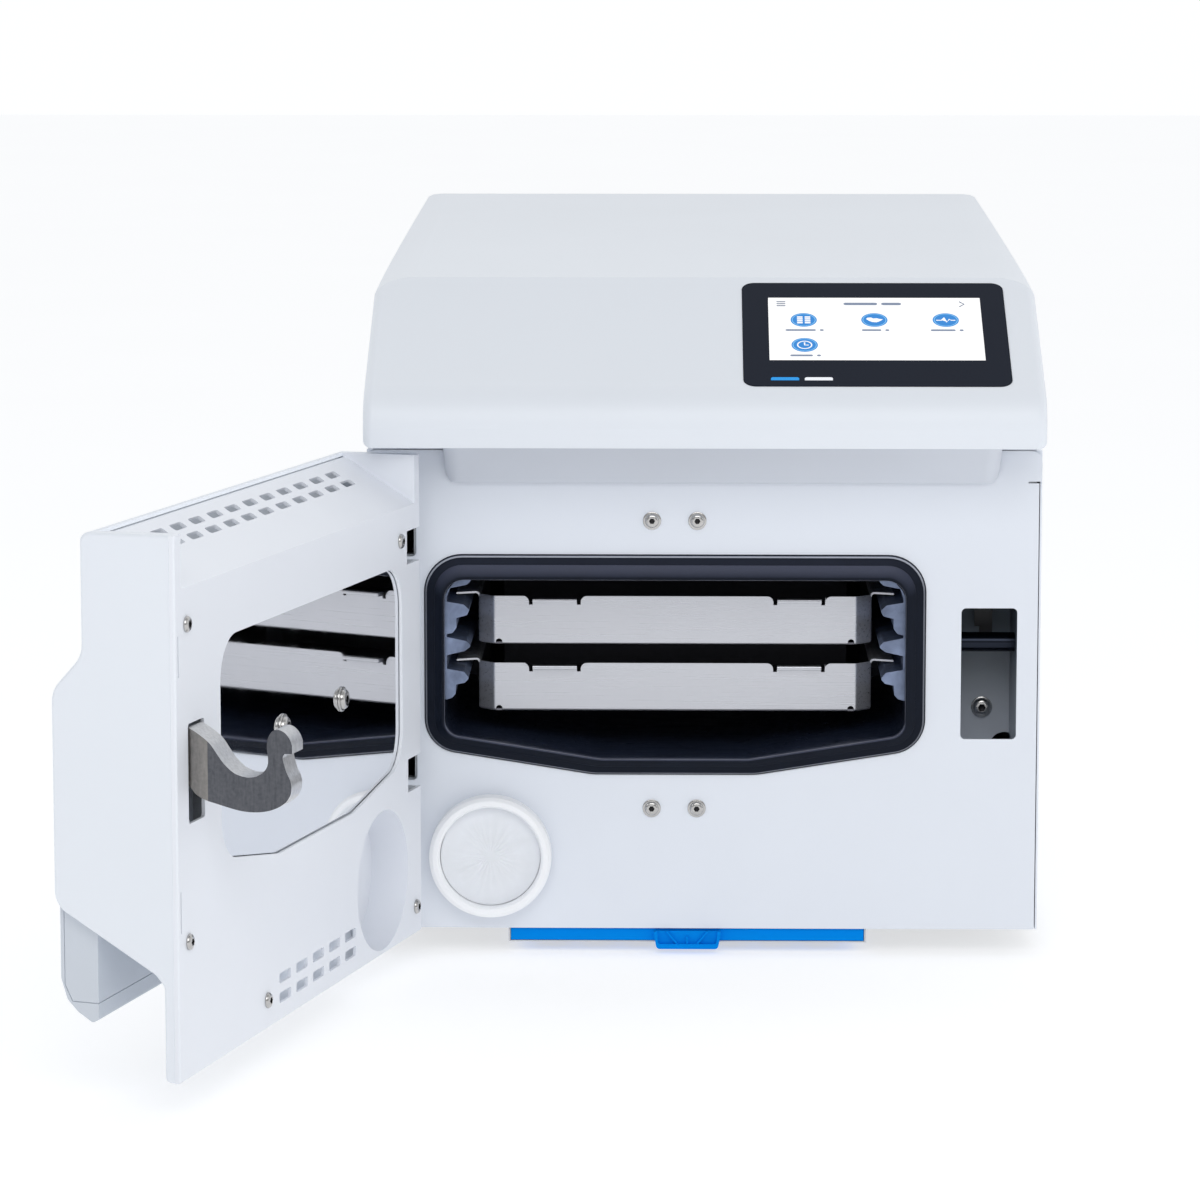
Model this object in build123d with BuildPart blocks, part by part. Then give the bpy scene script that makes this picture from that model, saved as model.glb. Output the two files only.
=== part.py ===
from build123d import *
import os
from math import sin, cos, tan, acos, radians, hypot

# A benchtop steam autoclave with a side-hung door, standing open as it does for loading.
# Machine frame, mm: X to the operator's right, Y to the rear with the front panel's face at
# Y = 0, Z up from the bench. The model's origin is the middle of the whole footprint on the
# bench with the door standing open, so the machine frame is shifted by ORIGIN_X, ORIGIN_Y.
ORIGIN_X = 72.6972
ORIGIN_Y = -53.7218

# ---- driving dimensions ----
BODY_HALF = 213.5        # sheet body half width at the front
HOOD_HALF = 212.5        # plastic hood half width at the front
REAR_TAPER = 11.0        # each side draws in by this much from the seam to the rear
SEAM_Y = 82.0            # where the slanted control face meets the hood's top
REAR_Y = 552.0
BODY_Z = 15.7            # underside of the body above the bench
PANEL_TOP = 322.0
SLIT_Z = (302.9, 304.1)  # short slit below each upper corner of the front panel
SHEET = 1.5
LIP_Y = -55.0            # front of the hood's lip
LIP_Z = 330.6
SLANT = 26.0             # control face above horizontal
SLANT_Y, SLANT_Z = -49.0, 363.0
SEAM_Z = SLANT_Z + (SEAM_Y - SLANT_Y) * tan(radians(SLANT))
REAR_TOP = 456.8
HOOD_WALL = 3.0

CHAMBER_X = -18.3        # chamber centre line
FLOOR_SLOPE = 0.158      # the chamber's floor rises to its sides
CHAMBER_BACK = 250.0

HINGE_X, HINGE_Y = -207.6, -31.8   # vertical door hinge
HINGE_Z = (268.5, 124.6)
OPEN_DEG = 105.0
DOOR_CLOSED_X = -211.0   # hinge-side end of the closed door
DOOR_GAP = 3.0           # closed door to front panel
DOOR_LEN = 423.0
DOOR_START = -2.5        # the closed door's hinge end is flush with the body's side
DOOR_BOTTOM, DOOR_TOP = 21.4, 325.0
DOOR_WALL = 2.0
PIN_R = 2.5
PIN_CLEAR = 0.05

HOOK_S = (382.4, 403.4)  # latch hook along the door
HOOK_PIVOT = (14.0, 201.0)
FILTER_X, FILTER_Z = -135.5, 64.4
TRAY_Y, TRAY_DEPTH = 35.0, 187.0

# ---- planes of the machine frame and of the door as it stands open ----
OPEN_C, OPEN_S = cos(radians(OPEN_DEG)), sin(radians(OPEN_DEG))
_dx, _dy = DOOR_CLOSED_X - HINGE_X, -DOOR_GAP - HINGE_Y
DOOR_X = ORIGIN_X + HINGE_X + OPEN_C * _dx + OPEN_S * _dy
DOOR_Y = ORIGIN_Y + HINGE_Y - OPEN_S * _dx + OPEN_C * _dy
ALONG = (OPEN_C, -OPEN_S, 0)       # from the hinge end to the free end
OUTWARD = (-OPEN_S, -OPEN_C, 0)    # from the door's inner face to its outer face


def front(y):
    """Sketch (x, z), growing towards the operator."""
    return Plane(origin=(ORIGIN_X, ORIGIN_Y + y, 0), x_dir=(1, 0, 0), z_dir=(0, -1, 0))


def level(z):
    """Sketch (x, y), growing upwards."""
    return Plane(origin=(ORIGIN_X, ORIGIN_Y, z), x_dir=(1, 0, 0), z_dir=(0, 0, 1))


def side(x):
    """Sketch (y, z), growing to the right."""
    return Plane(origin=(ORIGIN_X + x, ORIGIN_Y, 0), x_dir=(0, 1, 0), z_dir=(1, 0, 0))


def slope(h):
    """Sketch (x, distance up the control face), growing out of that face."""
    n = (0, -sin(radians(SLANT)), cos(radians(SLANT)))
    return Plane(
        origin=(ORIGIN_X, ORIGIN_Y + SLANT_Y + n[1] * h, SLANT_Z + n[2] * h),
        x_dir=(1, 0, 0),
        z_dir=n,
    )


def door_point(s, n, z):
    return (
        DOOR_X + ALONG[0] * s + OUTWARD[0] * n,
        DOOR_Y + ALONG[1] * s + OUTWARD[1] * n,
        z,
    )


def door_face(n):
    """Sketch (s along the door, z), growing outwards."""
    return Plane(origin=door_point(0, n, 0), x_dir=ALONG, z_dir=OUTWARD)


def door_end(s):
    """Sketch (n, z), growing towards the hinge; a negative depth goes to the free end."""
    return Plane(origin=door_point(s, 0, 0), x_dir=OUTWARD, z_dir=(-ALONG[0], -ALONG[1], 0))


def door_level(z):
    """Sketch (s, n), growing downwards."""
    return Plane(origin=door_point(0, 0, z), x_dir=ALONG, z_dir=(0, 0, -1))


# ---- the three shapes that most sheet and machined pieces start from ----
def slab(plane, a, b, depth, mode=Mode.ADD):
    with BuildSketch(plane) as outline:
        with Locations(((a[0] + a[1]) / 2, (b[0] + b[1]) / 2)):
            Rectangle(a[1] - a[0], b[1] - b[0])
    extrude(outline.sketch, amount=depth, mode=mode)


def disc(plane, centre, radius, depth, mode=Mode.ADD):
    with BuildSketch(plane) as outline:
        with Locations(centre):
            Circle(radius)
    extrude(outline.sketch, amount=depth, mode=mode)


def prism(plane, points, radii, depth, mode=Mode.ADD):
    with BuildSketch(plane) as outline:
        with BuildLine():
            FilletPolyline(*points, radius=radii, close=True)
        make_face()
    extrude(outline.sketch, amount=depth, mode=mode)


def flowing(points, sharp):
    """Corner radii that round a traced outline as far as its runs allow, but for the sharp corners."""
    radii = []
    for i, (x, y) in enumerate(points):
        (xa, ya), (xb, yb) = points[i - 1], points[(i + 1) % len(points)]
        before, after = hypot(x - xa, y - ya), hypot(xb - x, yb - y)
        turn = acos(((x - xa) * (xb - x) + (y - ya) * (yb - y)) / (before * after))
        radii.append(0 if i in sharp else 0.46 * min(before, after) / tan(turn / 2))
    return radii


def box(x, y, z, mode=Mode.ADD):
    slab(level(z[0]), x, y, z[1] - z[0], mode)


def body_half(y, inset=0.0):
    return BODY_HALF - inset - max(0.0, y - SEAM_Y) * REAR_TAPER / (REAR_Y - SEAM_Y)


def mouth(half, top, bottom, knee, r_top, r_side=None, r_knee=8.0):
    """The chamber mouth's outline: flat top, upright sides, floor rising to both sides."""
    low = bottom + FLOOR_SLOPE * (half - knee)
    points = [
        (CHAMBER_X - half, top),
        (CHAMBER_X - half, low),
        (CHAMBER_X - knee, bottom),
        (CHAMBER_X + knee, bottom),
        (CHAMBER_X + half, low),
        (CHAMBER_X + half, top),
    ]
    r_side = r_top if r_side is None else r_side
    return points, [r_top, r_side, r_knee, r_knee, r_side, r_top]


def write(piece, name):
    piece.label = name
    export_step(piece, f"parts/{name}.step")
    print(name, len(piece.solids()), round(piece.volume))


os.makedirs("parts", exist_ok=True)

# =====================================================================================
# Sheet-metal body
# =====================================================================================
with BuildPart() as base_pan:
    def pan(inset):
        return [
            (-body_half(0, inset), 3), (body_half(0, inset), 3),
            (body_half(SEAM_Y, inset), SEAM_Y), (body_half(549, inset), 549),
            (-body_half(549, inset), 549), (-body_half(SEAM_Y, inset), SEAM_Y),
        ]
    prism(level(BODY_Z), pan(1.7), [0] * 6, 16)
    inner = [
        (-body_half(0, 3.2), 4.5), (body_half(0, 3.2), 4.5),
        (body_half(SEAM_Y, 3.2), SEAM_Y), (body_half(549, 3.2), 547.5),
        (-body_half(549, 3.2), 547.5), (-body_half(SEAM_Y, 3.2), SEAM_Y),
    ]
    prism(level(BODY_Z + SHEET), inner, [0] * 6, 20, Mode.SUBTRACT)
    # air enters through this window above the dust filter
    for bay in ((-112, -44), (-38, 28), (34, 92)):
        box(bay, (34, 196), (BODY_Z - 1, BODY_Z + 3), Mode.SUBTRACT)
    # front lip is low so that the front panel's posts stand inside it
    box((-210.4, 210.4), (2, 5), (BODY_Z + 6, 40), Mode.SUBTRACT)
write(base_pan.part, "base_pan")

PANEL_SCREWS = [(-32.9, 278.7), (-4.2, 278.7), (-32.9, 93.8), (-4.2, 93.8)]

with BuildPart() as front_panel:
    prism(
        front(0),
        [
            (-211.7, BODY_Z), (211.7, BODY_Z), (211.7, SLIT_Z[1]), (213.5, SLIT_Z[1]),
            (213.5, 323.6), (-213.5, 323.6), (-213.5, SLIT_Z[1]), (-211.7, SLIT_Z[1]),
        ],
        [0, 0, 0, 0, 7, 7, 0, 0],
        -SHEET,
    )
    # folded returns behind both upright edges, slits that free the upper corners
    box((-211.5, -210.3), (SHEET, 2.8), (36, 300))
    box((210.3, 211.5), (SHEET, 2.8), (36, 300))
    for x in ((-214, -204.8), (204.8, 214)):
        slab(front(5), x, SLIT_Z, 10, Mode.SUBTRACT)
    prism(front(5), *mouth(159.4, 257.2, 115.5, 52.2, 24.3, 22.3, 40), 10, Mode.SUBTRACT)
    # slot for the door's latch hook
    prism(front(5), [(163.4, 139), (198.8, 139), (198.8, 223.2), (163.4, 223.2)], [3] * 4, 10, Mode.SUBTRACT)
    # slots for the hinge arms
    for z in HINGE_Z:
        prism(
            front(5),
            [(-205.2, z - 13), (-182.4, z - 13), (-182.4, z + 13), (-205.2, z + 13)],
            [3] * 4, 10, Mode.SUBTRACT,
        )
    disc(front(5), (FILTER_X, FILTER_Z), 21.5, 10, Mode.SUBTRACT)
    for p in PANEL_SCREWS:
        disc(front(5), p, 2.8, 10, Mode.SUBTRACT)
write(front_panel.part, "front_panel")

with BuildPart() as front_frame:
    # the steel plate that carries chamber, hinges and lock
    prism(front(3), [(-208, 26), (210.2, 26), (210.2, 312), (-208, 312)], [6] * 4, -6)
    prism(front(14), *mouth(167.6, 265.4, 107.4, 54, 32, 30, 40), 14, Mode.SUBTRACT)
    slab(front(14), (158.3, 203.2), (104.5, 231.5), 14, Mode.SUBTRACT)
    for z in HINGE_Z:
        slab(front(14), (-204.5, -184.0), (z - 12, z + 12), 14, Mode.SUBTRACT)
    disc(front(14), (FILTER_X, FILTER_Z), 26.6, 14, Mode.SUBTRACT)
    for p in PANEL_SCREWS:
        disc(front(14), p, 2.6, 14, Mode.SUBTRACT)
write(front_frame.part, "front_frame")

for hand, name in ((-1, "side_cover_left"), (1, "side_cover_right")):
    with BuildPart() as side_cover:
        prism(
            level(BODY_Z),
            [
                (hand * BODY_HALF, 0), (hand * BODY_HALF, SEAM_Y),
                (hand * body_half(REAR_Y), REAR_Y), (hand * body_half(REAR_Y, 1.2), REAR_Y),
                (hand * body_half(SEAM_Y, 1.2), SEAM_Y), (hand * body_half(0, 1.2), 0),
            ],
            [0] * 6,
            PANEL_TOP - BODY_Z,
        )
        # the front panel's upper corners lap over this notch
        box(
            tuple(sorted((hand * 211, hand * 215))), (-1, SHEET + 0.1), (302.7, 330),
            Mode.SUBTRACT,
        )
        # gusset that closes the corner behind the panel
        box(
            tuple(sorted((hand * 196, hand * BODY_HALF))), (SHEET + 0.1, 2.8), (313, 323.8),
        )
    write(side_cover.part, name)

FAN_X, FAN_Z, FAN_R = 120.0, 190.0, 46.0
with BuildPart() as rear_panel:
    half = body_half(REAR_Y, 1.5)
    slab(front(REAR_Y - SHEET), (-half, half), (BODY_Z, PANEL_TOP), -SHEET)
    # fan grille: rings of round holes
    for ring, count in ((12, 6), (22, 12), (32, 18), (41, 24)):
        with BuildSketch(front(REAR_Y - 5)) as holes:
            with Locations((FAN_X, FAN_Z)):
                with PolarLocations(ring, count):
                    Circle(2.9)
        extrude(holes.sketch, amount=-10, mode=Mode.SUBTRACT)
    slab(front(REAR_Y - 5), (-177, -149), (41, 65), -10, Mode.SUBTRACT)   # mains inlet
    slab(front(REAR_Y - 5), (-141, -119), (42, 64), -10, Mode.SUBTRACT)   # mains switch
    for p in ((-60, 60), (-20, 60), (150, 60)):
        disc(front(REAR_Y - 5), p, 7.2, -10, Mode.SUBTRACT)
    for a in (-50, 50):
        for b in (-50, 50):
            disc(front(REAR_Y - 5), (FAN_X + a, FAN_Z + b), 2.2, -10, Mode.SUBTRACT)
write(rear_panel.part, "rear_panel")

# =====================================================================================
# Plastic hood with the slanted control face
# =====================================================================================
def hood_profile(t):
    """Side outline (y, z) of the hood, drawn in by t."""
    rise = (REAR_TOP - SEAM_Z) / (REAR_Y - SEAM_Y)
    k = tan(radians(SLANT))
    def on_slant(y):
        return SLANT_Z + (y - SLANT_Y) * k - t / cos(radians(SLANT))
    def on_top(y):
        return SEAM_Z + (y - SEAM_Y) * rise - t * hypot(1, rise)
    seam = SEAM_Y + (on_top(SEAM_Y) - on_slant(SEAM_Y)) / (k - rise)
    if t:
        foot = [(REAR_Y - t, 318), (LIP_Y + t, 318)]
    else:
        foot = [(REAR_Y, 324.0), (-2, 324.0), (-8, LIP_Z), (LIP_Y, LIP_Z)]
    return (
        [(LIP_Y + t, on_slant(LIP_Y + t)), (seam, on_slant(seam)), (REAR_Y - t, on_top(REAR_Y - t))]
        + foot
    )


def hood_form(t):
    """The hood's solid form drawn in by t: side profile, crowned shoulders, tapered plan."""
    rise = (REAR_TOP - SEAM_Z) / (REAR_Y - SEAM_Y)
    along_top = Vector(0, 1, rise).normalized()
    half = HOOD_HALF - t
    with BuildPart() as form:
        pts = hood_profile(t)
        prism(side(-half), pts, [28 - t, 0, 14 - t] + [0] * (len(pts) - 3), 2 * half)
        if not t:
            # edges of the slanted face and of the front corners
            flanks = form.edges().filter_by(
                lambda e: abs(abs(e.center().X - ORIGIN_X) - half) < 0.01
                and e.center().Y < ORIGIN_Y + 60 and e.center().Z > LIP_Z + 5
            )
            fillet(flanks, 6)
        # shoulders: a flat ellipse that follows the top's fall, sketch (x, downwards)
        with BuildSketch(Plane(
            origin=(ORIGIN_X, ORIGIN_Y + SEAM_Y, SEAM_Z - t * hypot(1, rise)),
            x_dir=(1, 0, 0), z_dir=along_top,
        )) as crown:
            with BuildLine():
                a, b = 25 - t, 11 - t
                EllipticalCenterArc((half - a, b), a, b, start_angle=270, arc_size=90)
                EllipticalCenterArc((-half + a, b), a, b, start_angle=180, arc_size=90)
                Line((-half + a, 0), (half - a, 0))
                Polyline((half, b), (half, 220), (-half, 220), (-half, b))
            make_face()
        extrude(crown.sketch, amount=620, both=True, mode=Mode.INTERSECT)
        with BuildSketch(level(300)) as plan:
            with BuildLine():
                y0 = LIP_Y - 3 if t else LIP_Y
                FilletPolyline(
                    (-half, y0), (half, y0), (half, SEAM_Y), (half - REAR_TAPER, REAR_Y - t),
                    (-half + REAR_TAPER, REAR_Y - t), (-half, SEAM_Y),
                    radius=[0.1, 0.1, 0, 20 - t, 20 - t, 0], close=True,
                )
            make_face()
        extrude(plan.sketch, amount=200, mode=Mode.INTERSECT)
    return form.part


BEZEL = ((24.2, 191.6), (11.0, 138.0))
SCREEN = ((40.9, 176.2), (42.0, 119.3))
with BuildPart() as top_hood:
    add(hood_form(0.0))
    add(hood_form(HOOD_WALL), mode=Mode.SUBTRACT)
    # seat for the glass control panel and the window for its module
    prism(
        slope(-1.6),
        [(BEZEL[0][0] - 0.2, BEZEL[1][0] - 0.2), (BEZEL[0][1] + 0.2, BEZEL[1][0] - 0.2),
         (BEZEL[0][1] + 0.2, BEZEL[1][1] + 0.2), (BEZEL[0][0] - 0.2, BEZEL[1][1] + 0.2)],
        [8.2] * 4, 10, Mode.SUBTRACT,
    )
    slab(slope(-12), (34, 186), (15, 127), 22, Mode.SUBTRACT)
    # rounded lower corners of the lip
    with BuildSketch(front(-7.8)) as lip_corner:
        for hand in (-1, 1):
            with Locations((hand * (HOOD_HALF - 2.5), LIP_Z + 2.5)):
                Rectangle(5, 5)
            with Locations((hand * (HOOD_HALF - 5), LIP_Z + 5)):
                Circle(5, mode=Mode.SUBTRACT)
    extrude(lip_corner.sketch, amount=60, mode=Mode.SUBTRACT)
write(top_hood.part, "top_hood")

with BuildPart() as hood_chin:
    # a shallow duct under the lip that catches the steam leaving the door's top vents
    with BuildSketch(side(-164)) as chin_side:
        with BuildLine():
            Polyline((-45, LIP_Z + 0.2), (-5.5, 303.4), (-0.8, 303.4), (-0.8, LIP_Z + 0.2), close=True)
        make_face()
    extrude(chin_side.sketch, amount=350.6)
    lower = hood_chin.edges().filter_by(
        lambda e: abs(abs(e.center().X - ORIGIN_X - 11.3) - 175.3) < 0.1 and e.center().Z < 329
        and e.center().Y < ORIGIN_Y - 6
    )
    fillet(lower, 11)
    with BuildSketch(side(-156)) as chin_hollow:
        with BuildLine():
            Polyline((-37.5, LIP_Z + 3), (-37.5, LIP_Z), (-6.9, 309.6), (-3.3, 309.6), (-3.3, LIP_Z + 3), close=True)
        make_face()
    # closing plate inside the hood's lip, turned down along the front panel's top
    box((-209.2, 209.2), (-51.7, -0.8), (LIP_Z + 0.2, LIP_Z + 2.7))
    box((-209.2, 209.2), (-2.4, -0.8), (324.3, LIP_Z + 1))
    extrude(chin_hollow.sketch, amount=334.6, mode=Mode.SUBTRACT)
write(hood_chin.part, "hood_chin")

with BuildPart() as display_bezel:
    prism(
        slope(-1.5),
        [(BEZEL[0][0], BEZEL[1][0]), (BEZEL[0][1], BEZEL[1][0]),
         (BEZEL[0][1], BEZEL[1][1]), (BEZEL[0][0], BEZEL[1][1])],
        [8] * 4, 2.0,
    )
    slab(slope(-5), (SCREEN[0][0] - 0.1, SCREEN[0][1] + 0.1), (SCREEN[1][0] - 0.1, SCREEN[1][1] + 0.1), 10, Mode.SUBTRACT)
    for a in ((41.3, 58.9), (62.4, 79.9)):
        slab(slope(-5), (a[0] - 0.1, a[1] + 0.1), (17.6, 21.4), 10, Mode.SUBTRACT)
write(display_bezel.part, "display_bezel")

with BuildPart() as display_screen:
    slab(slope(-3.5), SCREEN[0], SCREEN[1], 3.9)
    slab(slope(-8.0), (36, 184.2), (37, 124.4), 4.5)
write(display_screen.part, "display_screen")

for name, a in (("status_light_blue", (41.3, 58.9)), ("status_light_white", (62.4, 79.9))):
    with BuildPart() as status_light:
        prism(slope(-4.0), [(a[0], 17.7), (a[1], 17.7), (a[1], 21.3), (a[0], 21.3)], [1.5] * 4, 4.5)
    write(status_light.part, name)

with BuildPart() as control_board:
    slab(slope(-13.0), (38, 182), (14, 122), 1.6)
    slab(slope(-11.4), (50, 90), (30, 60), 2.2)
    slab(slope(-11.4), (110, 150), (50, 100), 2.2)
    for p in ((44, 34.0), (176, 34.0), (44, 118), (176, 118)):
        disc(slope(-11.4), p, 3, 3.3)
write(control_board.part, "control_board")

# =====================================================================================
# Chamber, flange, gasket and tray racks
# =====================================================================================
with BuildPart() as chamber:
    # flange welded round the mouth, drawn shell, inner space
    prism(front(2), *mouth(167.0, 264.8, 108.0, 54, 31.4, 29.4, 40), -4)
    prism(front(6), *mouth(149.8, 246.5, 123.5, 47.9, 15.5, 13.5, 40), -(CHAMBER_BACK - 3))
    prism(front(CHAMBER_BACK), *mouth(147.3, 244.0, 126.0, 47.3, 13, 11, 40), CHAMBER_BACK + 5, Mode.SUBTRACT)
write(chamber.part, "chamber")

with BuildPart() as chamber_insulation:
    slab(front(9.3), (-182, 155), (100, 271), -265)
    prism(front(CHAMBER_BACK + 3.3), *mouth(150.1, 246.8, 123.2, 48, 15.8, 13.8, 40), 260, Mode.SUBTRACT)
    # relief around the lock housing and the filter's socket
    box((150.5, 160), (8, 80), (120, 240), Mode.SUBTRACT)
write(chamber_insulation.part, "chamber_insulation")

with BuildPart() as flange_ring:
    prism(front(1.9), *mouth(158.6, 256.4, 116.3, 52, 23.5, 21.5, 40), 4.1)
    fillet(flange_ring.faces().sort_by(Axis.Y)[0].outer_wire().edges(), 1.2)
    prism(front(3), *mouth(152.8, 250.6, 122.4, 50.5, 17.7, 15.7, 40), 8, Mode.SUBTRACT)
write(flange_ring.part, "flange_ring")

with BuildPart() as door_gasket:
    prism(front(1.9), *mouth(152.7, 250.5, 122.5, 50.5, 17.6, 15.6, 40), 6.9)
    prism(front(3), *mouth(146.3, 240.9, 126.2, 47, 12.5, 10.5, 40), 10, Mode.SUBTRACT)
    fillet(door_gasket.faces().sort_by(Axis.Y)[0].edges(), 1.3)
write(door_gasket.part, "door_gasket")

RACK = [
    (-165.3, 163.1), (-163.5, 163.1), (-160.3, 164.2), (-158.1, 166.6), (-157.6, 172.8),
    (-152.1, 173.9), (-149.3, 176.9), (-152.6, 181.0), (-163.5, 182.8), (-163.5, 191.7),
    (-152.1, 194.3), (-147.9, 197.5), (-151.0, 200.7), (-163.5, 203.3), (-163.5, 205.2),
    (-159.8, 205.9), (-157.3, 209.3), (-157.3, 215.6), (-150.6, 217.4), (-149.0, 220.8),
    (-152.8, 224.3), (-163.5, 226.0), (-163.2, 229.4), (-161.2, 234.8), (-150.8, 236.9),
    (-148.0, 239.3), (-149.0, 241.8), (-152.0, 241.8), (-157.5, 239.5), (-162.6, 234.0),
    (-164.7, 229.8), (-165.3, 226.0),
]
RACK_R = [
    0, 0, 1.0, 1.0, 0.5, 1.2, 1.6, 2.0, 0.4, 0.4, 2.0, 1.4, 2.0, 0.4, 0.3, 1.2, 1.2, 0.5, 1.5,
    1.4, 2.0, 0.4, 0.5, 0.5, 1.0, 1.0, 0.8, 0.8, 2, 1, 0.5, 0,
]
RACK_Y = (4.0, 226.0)
with BuildPart() as rack_left:
    prism(front(RACK_Y[0]), RACK, RACK_R, -(RACK_Y[1] - RACK_Y[0]))
write(rack_left.part, "rack_left")
with BuildPart() as rack_right:
    mirrored = [(2 * CHAMBER_X - x, z) for x, z in RACK]
    prism(front(RACK_Y[0]), mirrored, RACK_R, -(RACK_Y[1] - RACK_Y[0]))
write(rack_right.part, "rack_right")

with BuildPart() as panel_screws:
    for x, z in PANEL_SCREWS:
        # washer flange, button head with hexagon socket, shank
        disc(front(0), (x, z), 5.8, 0.9)
        disc(front(-0.9), (x, z), 4.6, 1.9)
        with BuildSketch(front(-1.2)) as socket:
            with Locations((x, z)):
                RegularPolygon(1.9, 6)
        extrude(socket.sketch, amount=4, mode=Mode.SUBTRACT)
        disc(front(0), (x, z), 2.5, -13)
write(panel_screws.part, "panel_screws")

# =====================================================================================
# Trays
# =====================================================================================
def tray(flange_top, name):
    """Pressed sheet tray: chamfered front corners, side flanges that ride on the racks and
    two finger tabs folded out of the front wall's edge."""
    base, rim = flange_top - 33.0, flange_top - 1.9
    left, right = -144.8, 2 * CHAMBER_X + 144.8
    y0, y1 = TRAY_Y, TRAY_Y + TRAY_DEPTH
    t = 1.2
    with BuildPart() as piece:
        def ring(i):
            return [
                (left + i, y0 + 10), (left + 10, y0 + i), (right - 10, y0 + i), (right - i, y0 + 10),
                (right - i, y1 - 10), (right - 10, y1 - i), (left + 10, y1 - i), (left + i, y1 - 10),
            ]
        prism(level(base), ring(0), [3] * 8, rim - base)
        prism(level(base + t), ring(t), [2] * 8, 60, Mode.SUBTRACT)
        # side flanges
        prism(
            level(flange_top - 1.5),
            [(left - 14.2, y0 + 4), (left - 12, y0 + 1.5), (left + 1.2, y0 + 10.5), (left + 1.2, y1 - 10.5),
             (left - 12, y1 - 1.5), (left - 14.2, y1 - 4)],
            [0] * 6, 1.5,
        )
        prism(
            level(flange_top - 1.5),
            [(right + 14.2, y0 + 4), (right + 12, y0 + 1.5), (right - 1.2, y0 + 10.5), (right - 1.2, y1 - 10.5),
             (right + 12, y1 - 1.5), (right + 14.2, y1 - 4)],
            [0] * 6, 1.5,
        )
        # shoulders joining wall to flange
        box((left, left + t), (y0 + 10.5, y1 - 10.5), (rim - 1, flange_top - 1.5))
        box((right - t, right), (y0 + 10.5, y1 - 10.5), (rim - 1, flange_top - 1.5))
        # tabs, with a relief notch beside each fold
        for a in ((-109.7, -81.3), (47.3, 75.6)):
            box((a[0] - 2.2, a[1] + 2.2), (y0 - 1, y0 + 3), (rim - 1.3, rim + 2), Mode.SUBTRACT)
            box((a[0] - 2.2, a[0]), (y0 - 1, y0 + 3), (rim - 4.0, rim + 2), Mode.SUBTRACT)
            box((a[1], a[1] + 2.2), (y0 - 1, y0 + 3), (rim - 4.0, rim + 2), Mode.SUBTRACT)
            box(a, (y0 - 5.5, y0 + t), (rim - 2.5, rim - 1.3))
        # drain reliefs at the front bottom corners
        for x in (left + 13, right - 13):
            disc(front(y0 - 1), (x, base), 2.2, -4, Mode.SUBTRACT)
    write(piece.part, name)
    return piece.part


tray(227.4, "tray_upper")
tray(184.0, "tray_lower")

# =====================================================================================
# Hinges on the body
# =====================================================================================
with BuildPart() as hinge_brackets:
    for z in HINGE_Z:
        with BuildSketch(level(z - 4.8)) as arm:
            with BuildLine():
                Polyline(
                    (-203.6, 12), (-192.2, 12), (-192.2, -15), (-202.6, -35.6),
                    (-209.6, -36.9), (-212.2, -28.6), (-203.6, -18), close=True,
                )
            make_face()
            with Locations((HINGE_X, HINGE_Y)):
                Circle(5.4)
        extrude(arm.sketch, amount=9.6)
        box((-208, -184), (9.1, 12), (z - 22, z + 22))
        box((-191, -183), (8, 13), (z - 12, z + 12), Mode.SUBTRACT)
        disc(level(z - 10), (HINGE_X, HINGE_Y), PIN_R + 0.01, 20, Mode.SUBTRACT)
write(hinge_brackets.part, "hinge_brackets")

with BuildPart() as hinge_pins:
    for z in HINGE_Z:
        disc(level(z - 10.3), (HINGE_X, HINGE_Y), PIN_R, 20.6)
write(hinge_pins.part, "hinge_pins")

# =====================================================================================
# Door lock behind the front panel
# =====================================================================================
LOCK_SCREW = (181.6, 147.5)
with BuildPart() as lock_housing:
    box((159.0, 201.4), (2.0, 78.0), (106.0, 230.5))
    box((161.2, 199.5), (1.0, 76.0), (108.2, 228.3), Mode.SUBTRACT)
    # drain hole in the lower rear corner
    disc(front(66), (196.6, 121.5), 9.5, -20, Mode.SUBTRACT)
    disc(front(70), LOCK_SCREW, 3.1, -14, Mode.SUBTRACT)
    # bores for the lock rod
    disc(side(150), (32.0, 197.0), 4.02, 60, Mode.SUBTRACT)
write(lock_housing.part, "lock_housing")

with BuildPart() as lock_rod:
    disc(side(161.4), (32.0, 197.0), 6.3, 37.9)
    disc(side(158.6), (32.0, 197.0), 4.0, 43.2)
write(lock_rod.part, "lock_rod")

with BuildPart() as lock_housing_screw:
    disc(front(76), LOCK_SCREW, 6.9, 2.0)
    disc(front(74), LOCK_SCREW, 5.2, 2.4)
    with BuildSketch(front(74.5)) as socket:
        with Locations(LOCK_SCREW):
            RegularPolygon(2.3, 6)
    extrude(socket.sketch, amount=5, mode=Mode.SUBTRACT)
    disc(front(76), LOCK_SCREW, 3.0, -10)
write(lock_housing_screw.part, "lock_housing_screw")

LEVER_PIVOT = (58.8, 224.0)
with BuildPart() as door_switch:
    # switch body under the housing's roof, with two ears for the lever
    box((173.4, 188.6), (61.0, 75.9), (217.0, 228.2))
    box((173.4, 174.9), (56.6, 61.5), (220.5, 227.5))
    box((187.1, 188.6), (56.6, 61.5), (220.5, 227.5))
    disc(side(170), LEVER_PIVOT, 1.66, 22, Mode.SUBTRACT)
write(door_switch.part, "door_switch")

with BuildPart() as door_switch_lever:
    # the closed hook's nose pushes this plate back about its top edge
    disc(side(173.6), LEVER_PIVOT, 1.6, 14.8)
    box((175.2, 186.8), (58.2, 59.4), (203.3, 224.0))
    box((178.4, 186.8), (58.2, 59.4), (195.6, 203.4))
write(door_switch_lever.part, "door_switch_lever")

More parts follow.
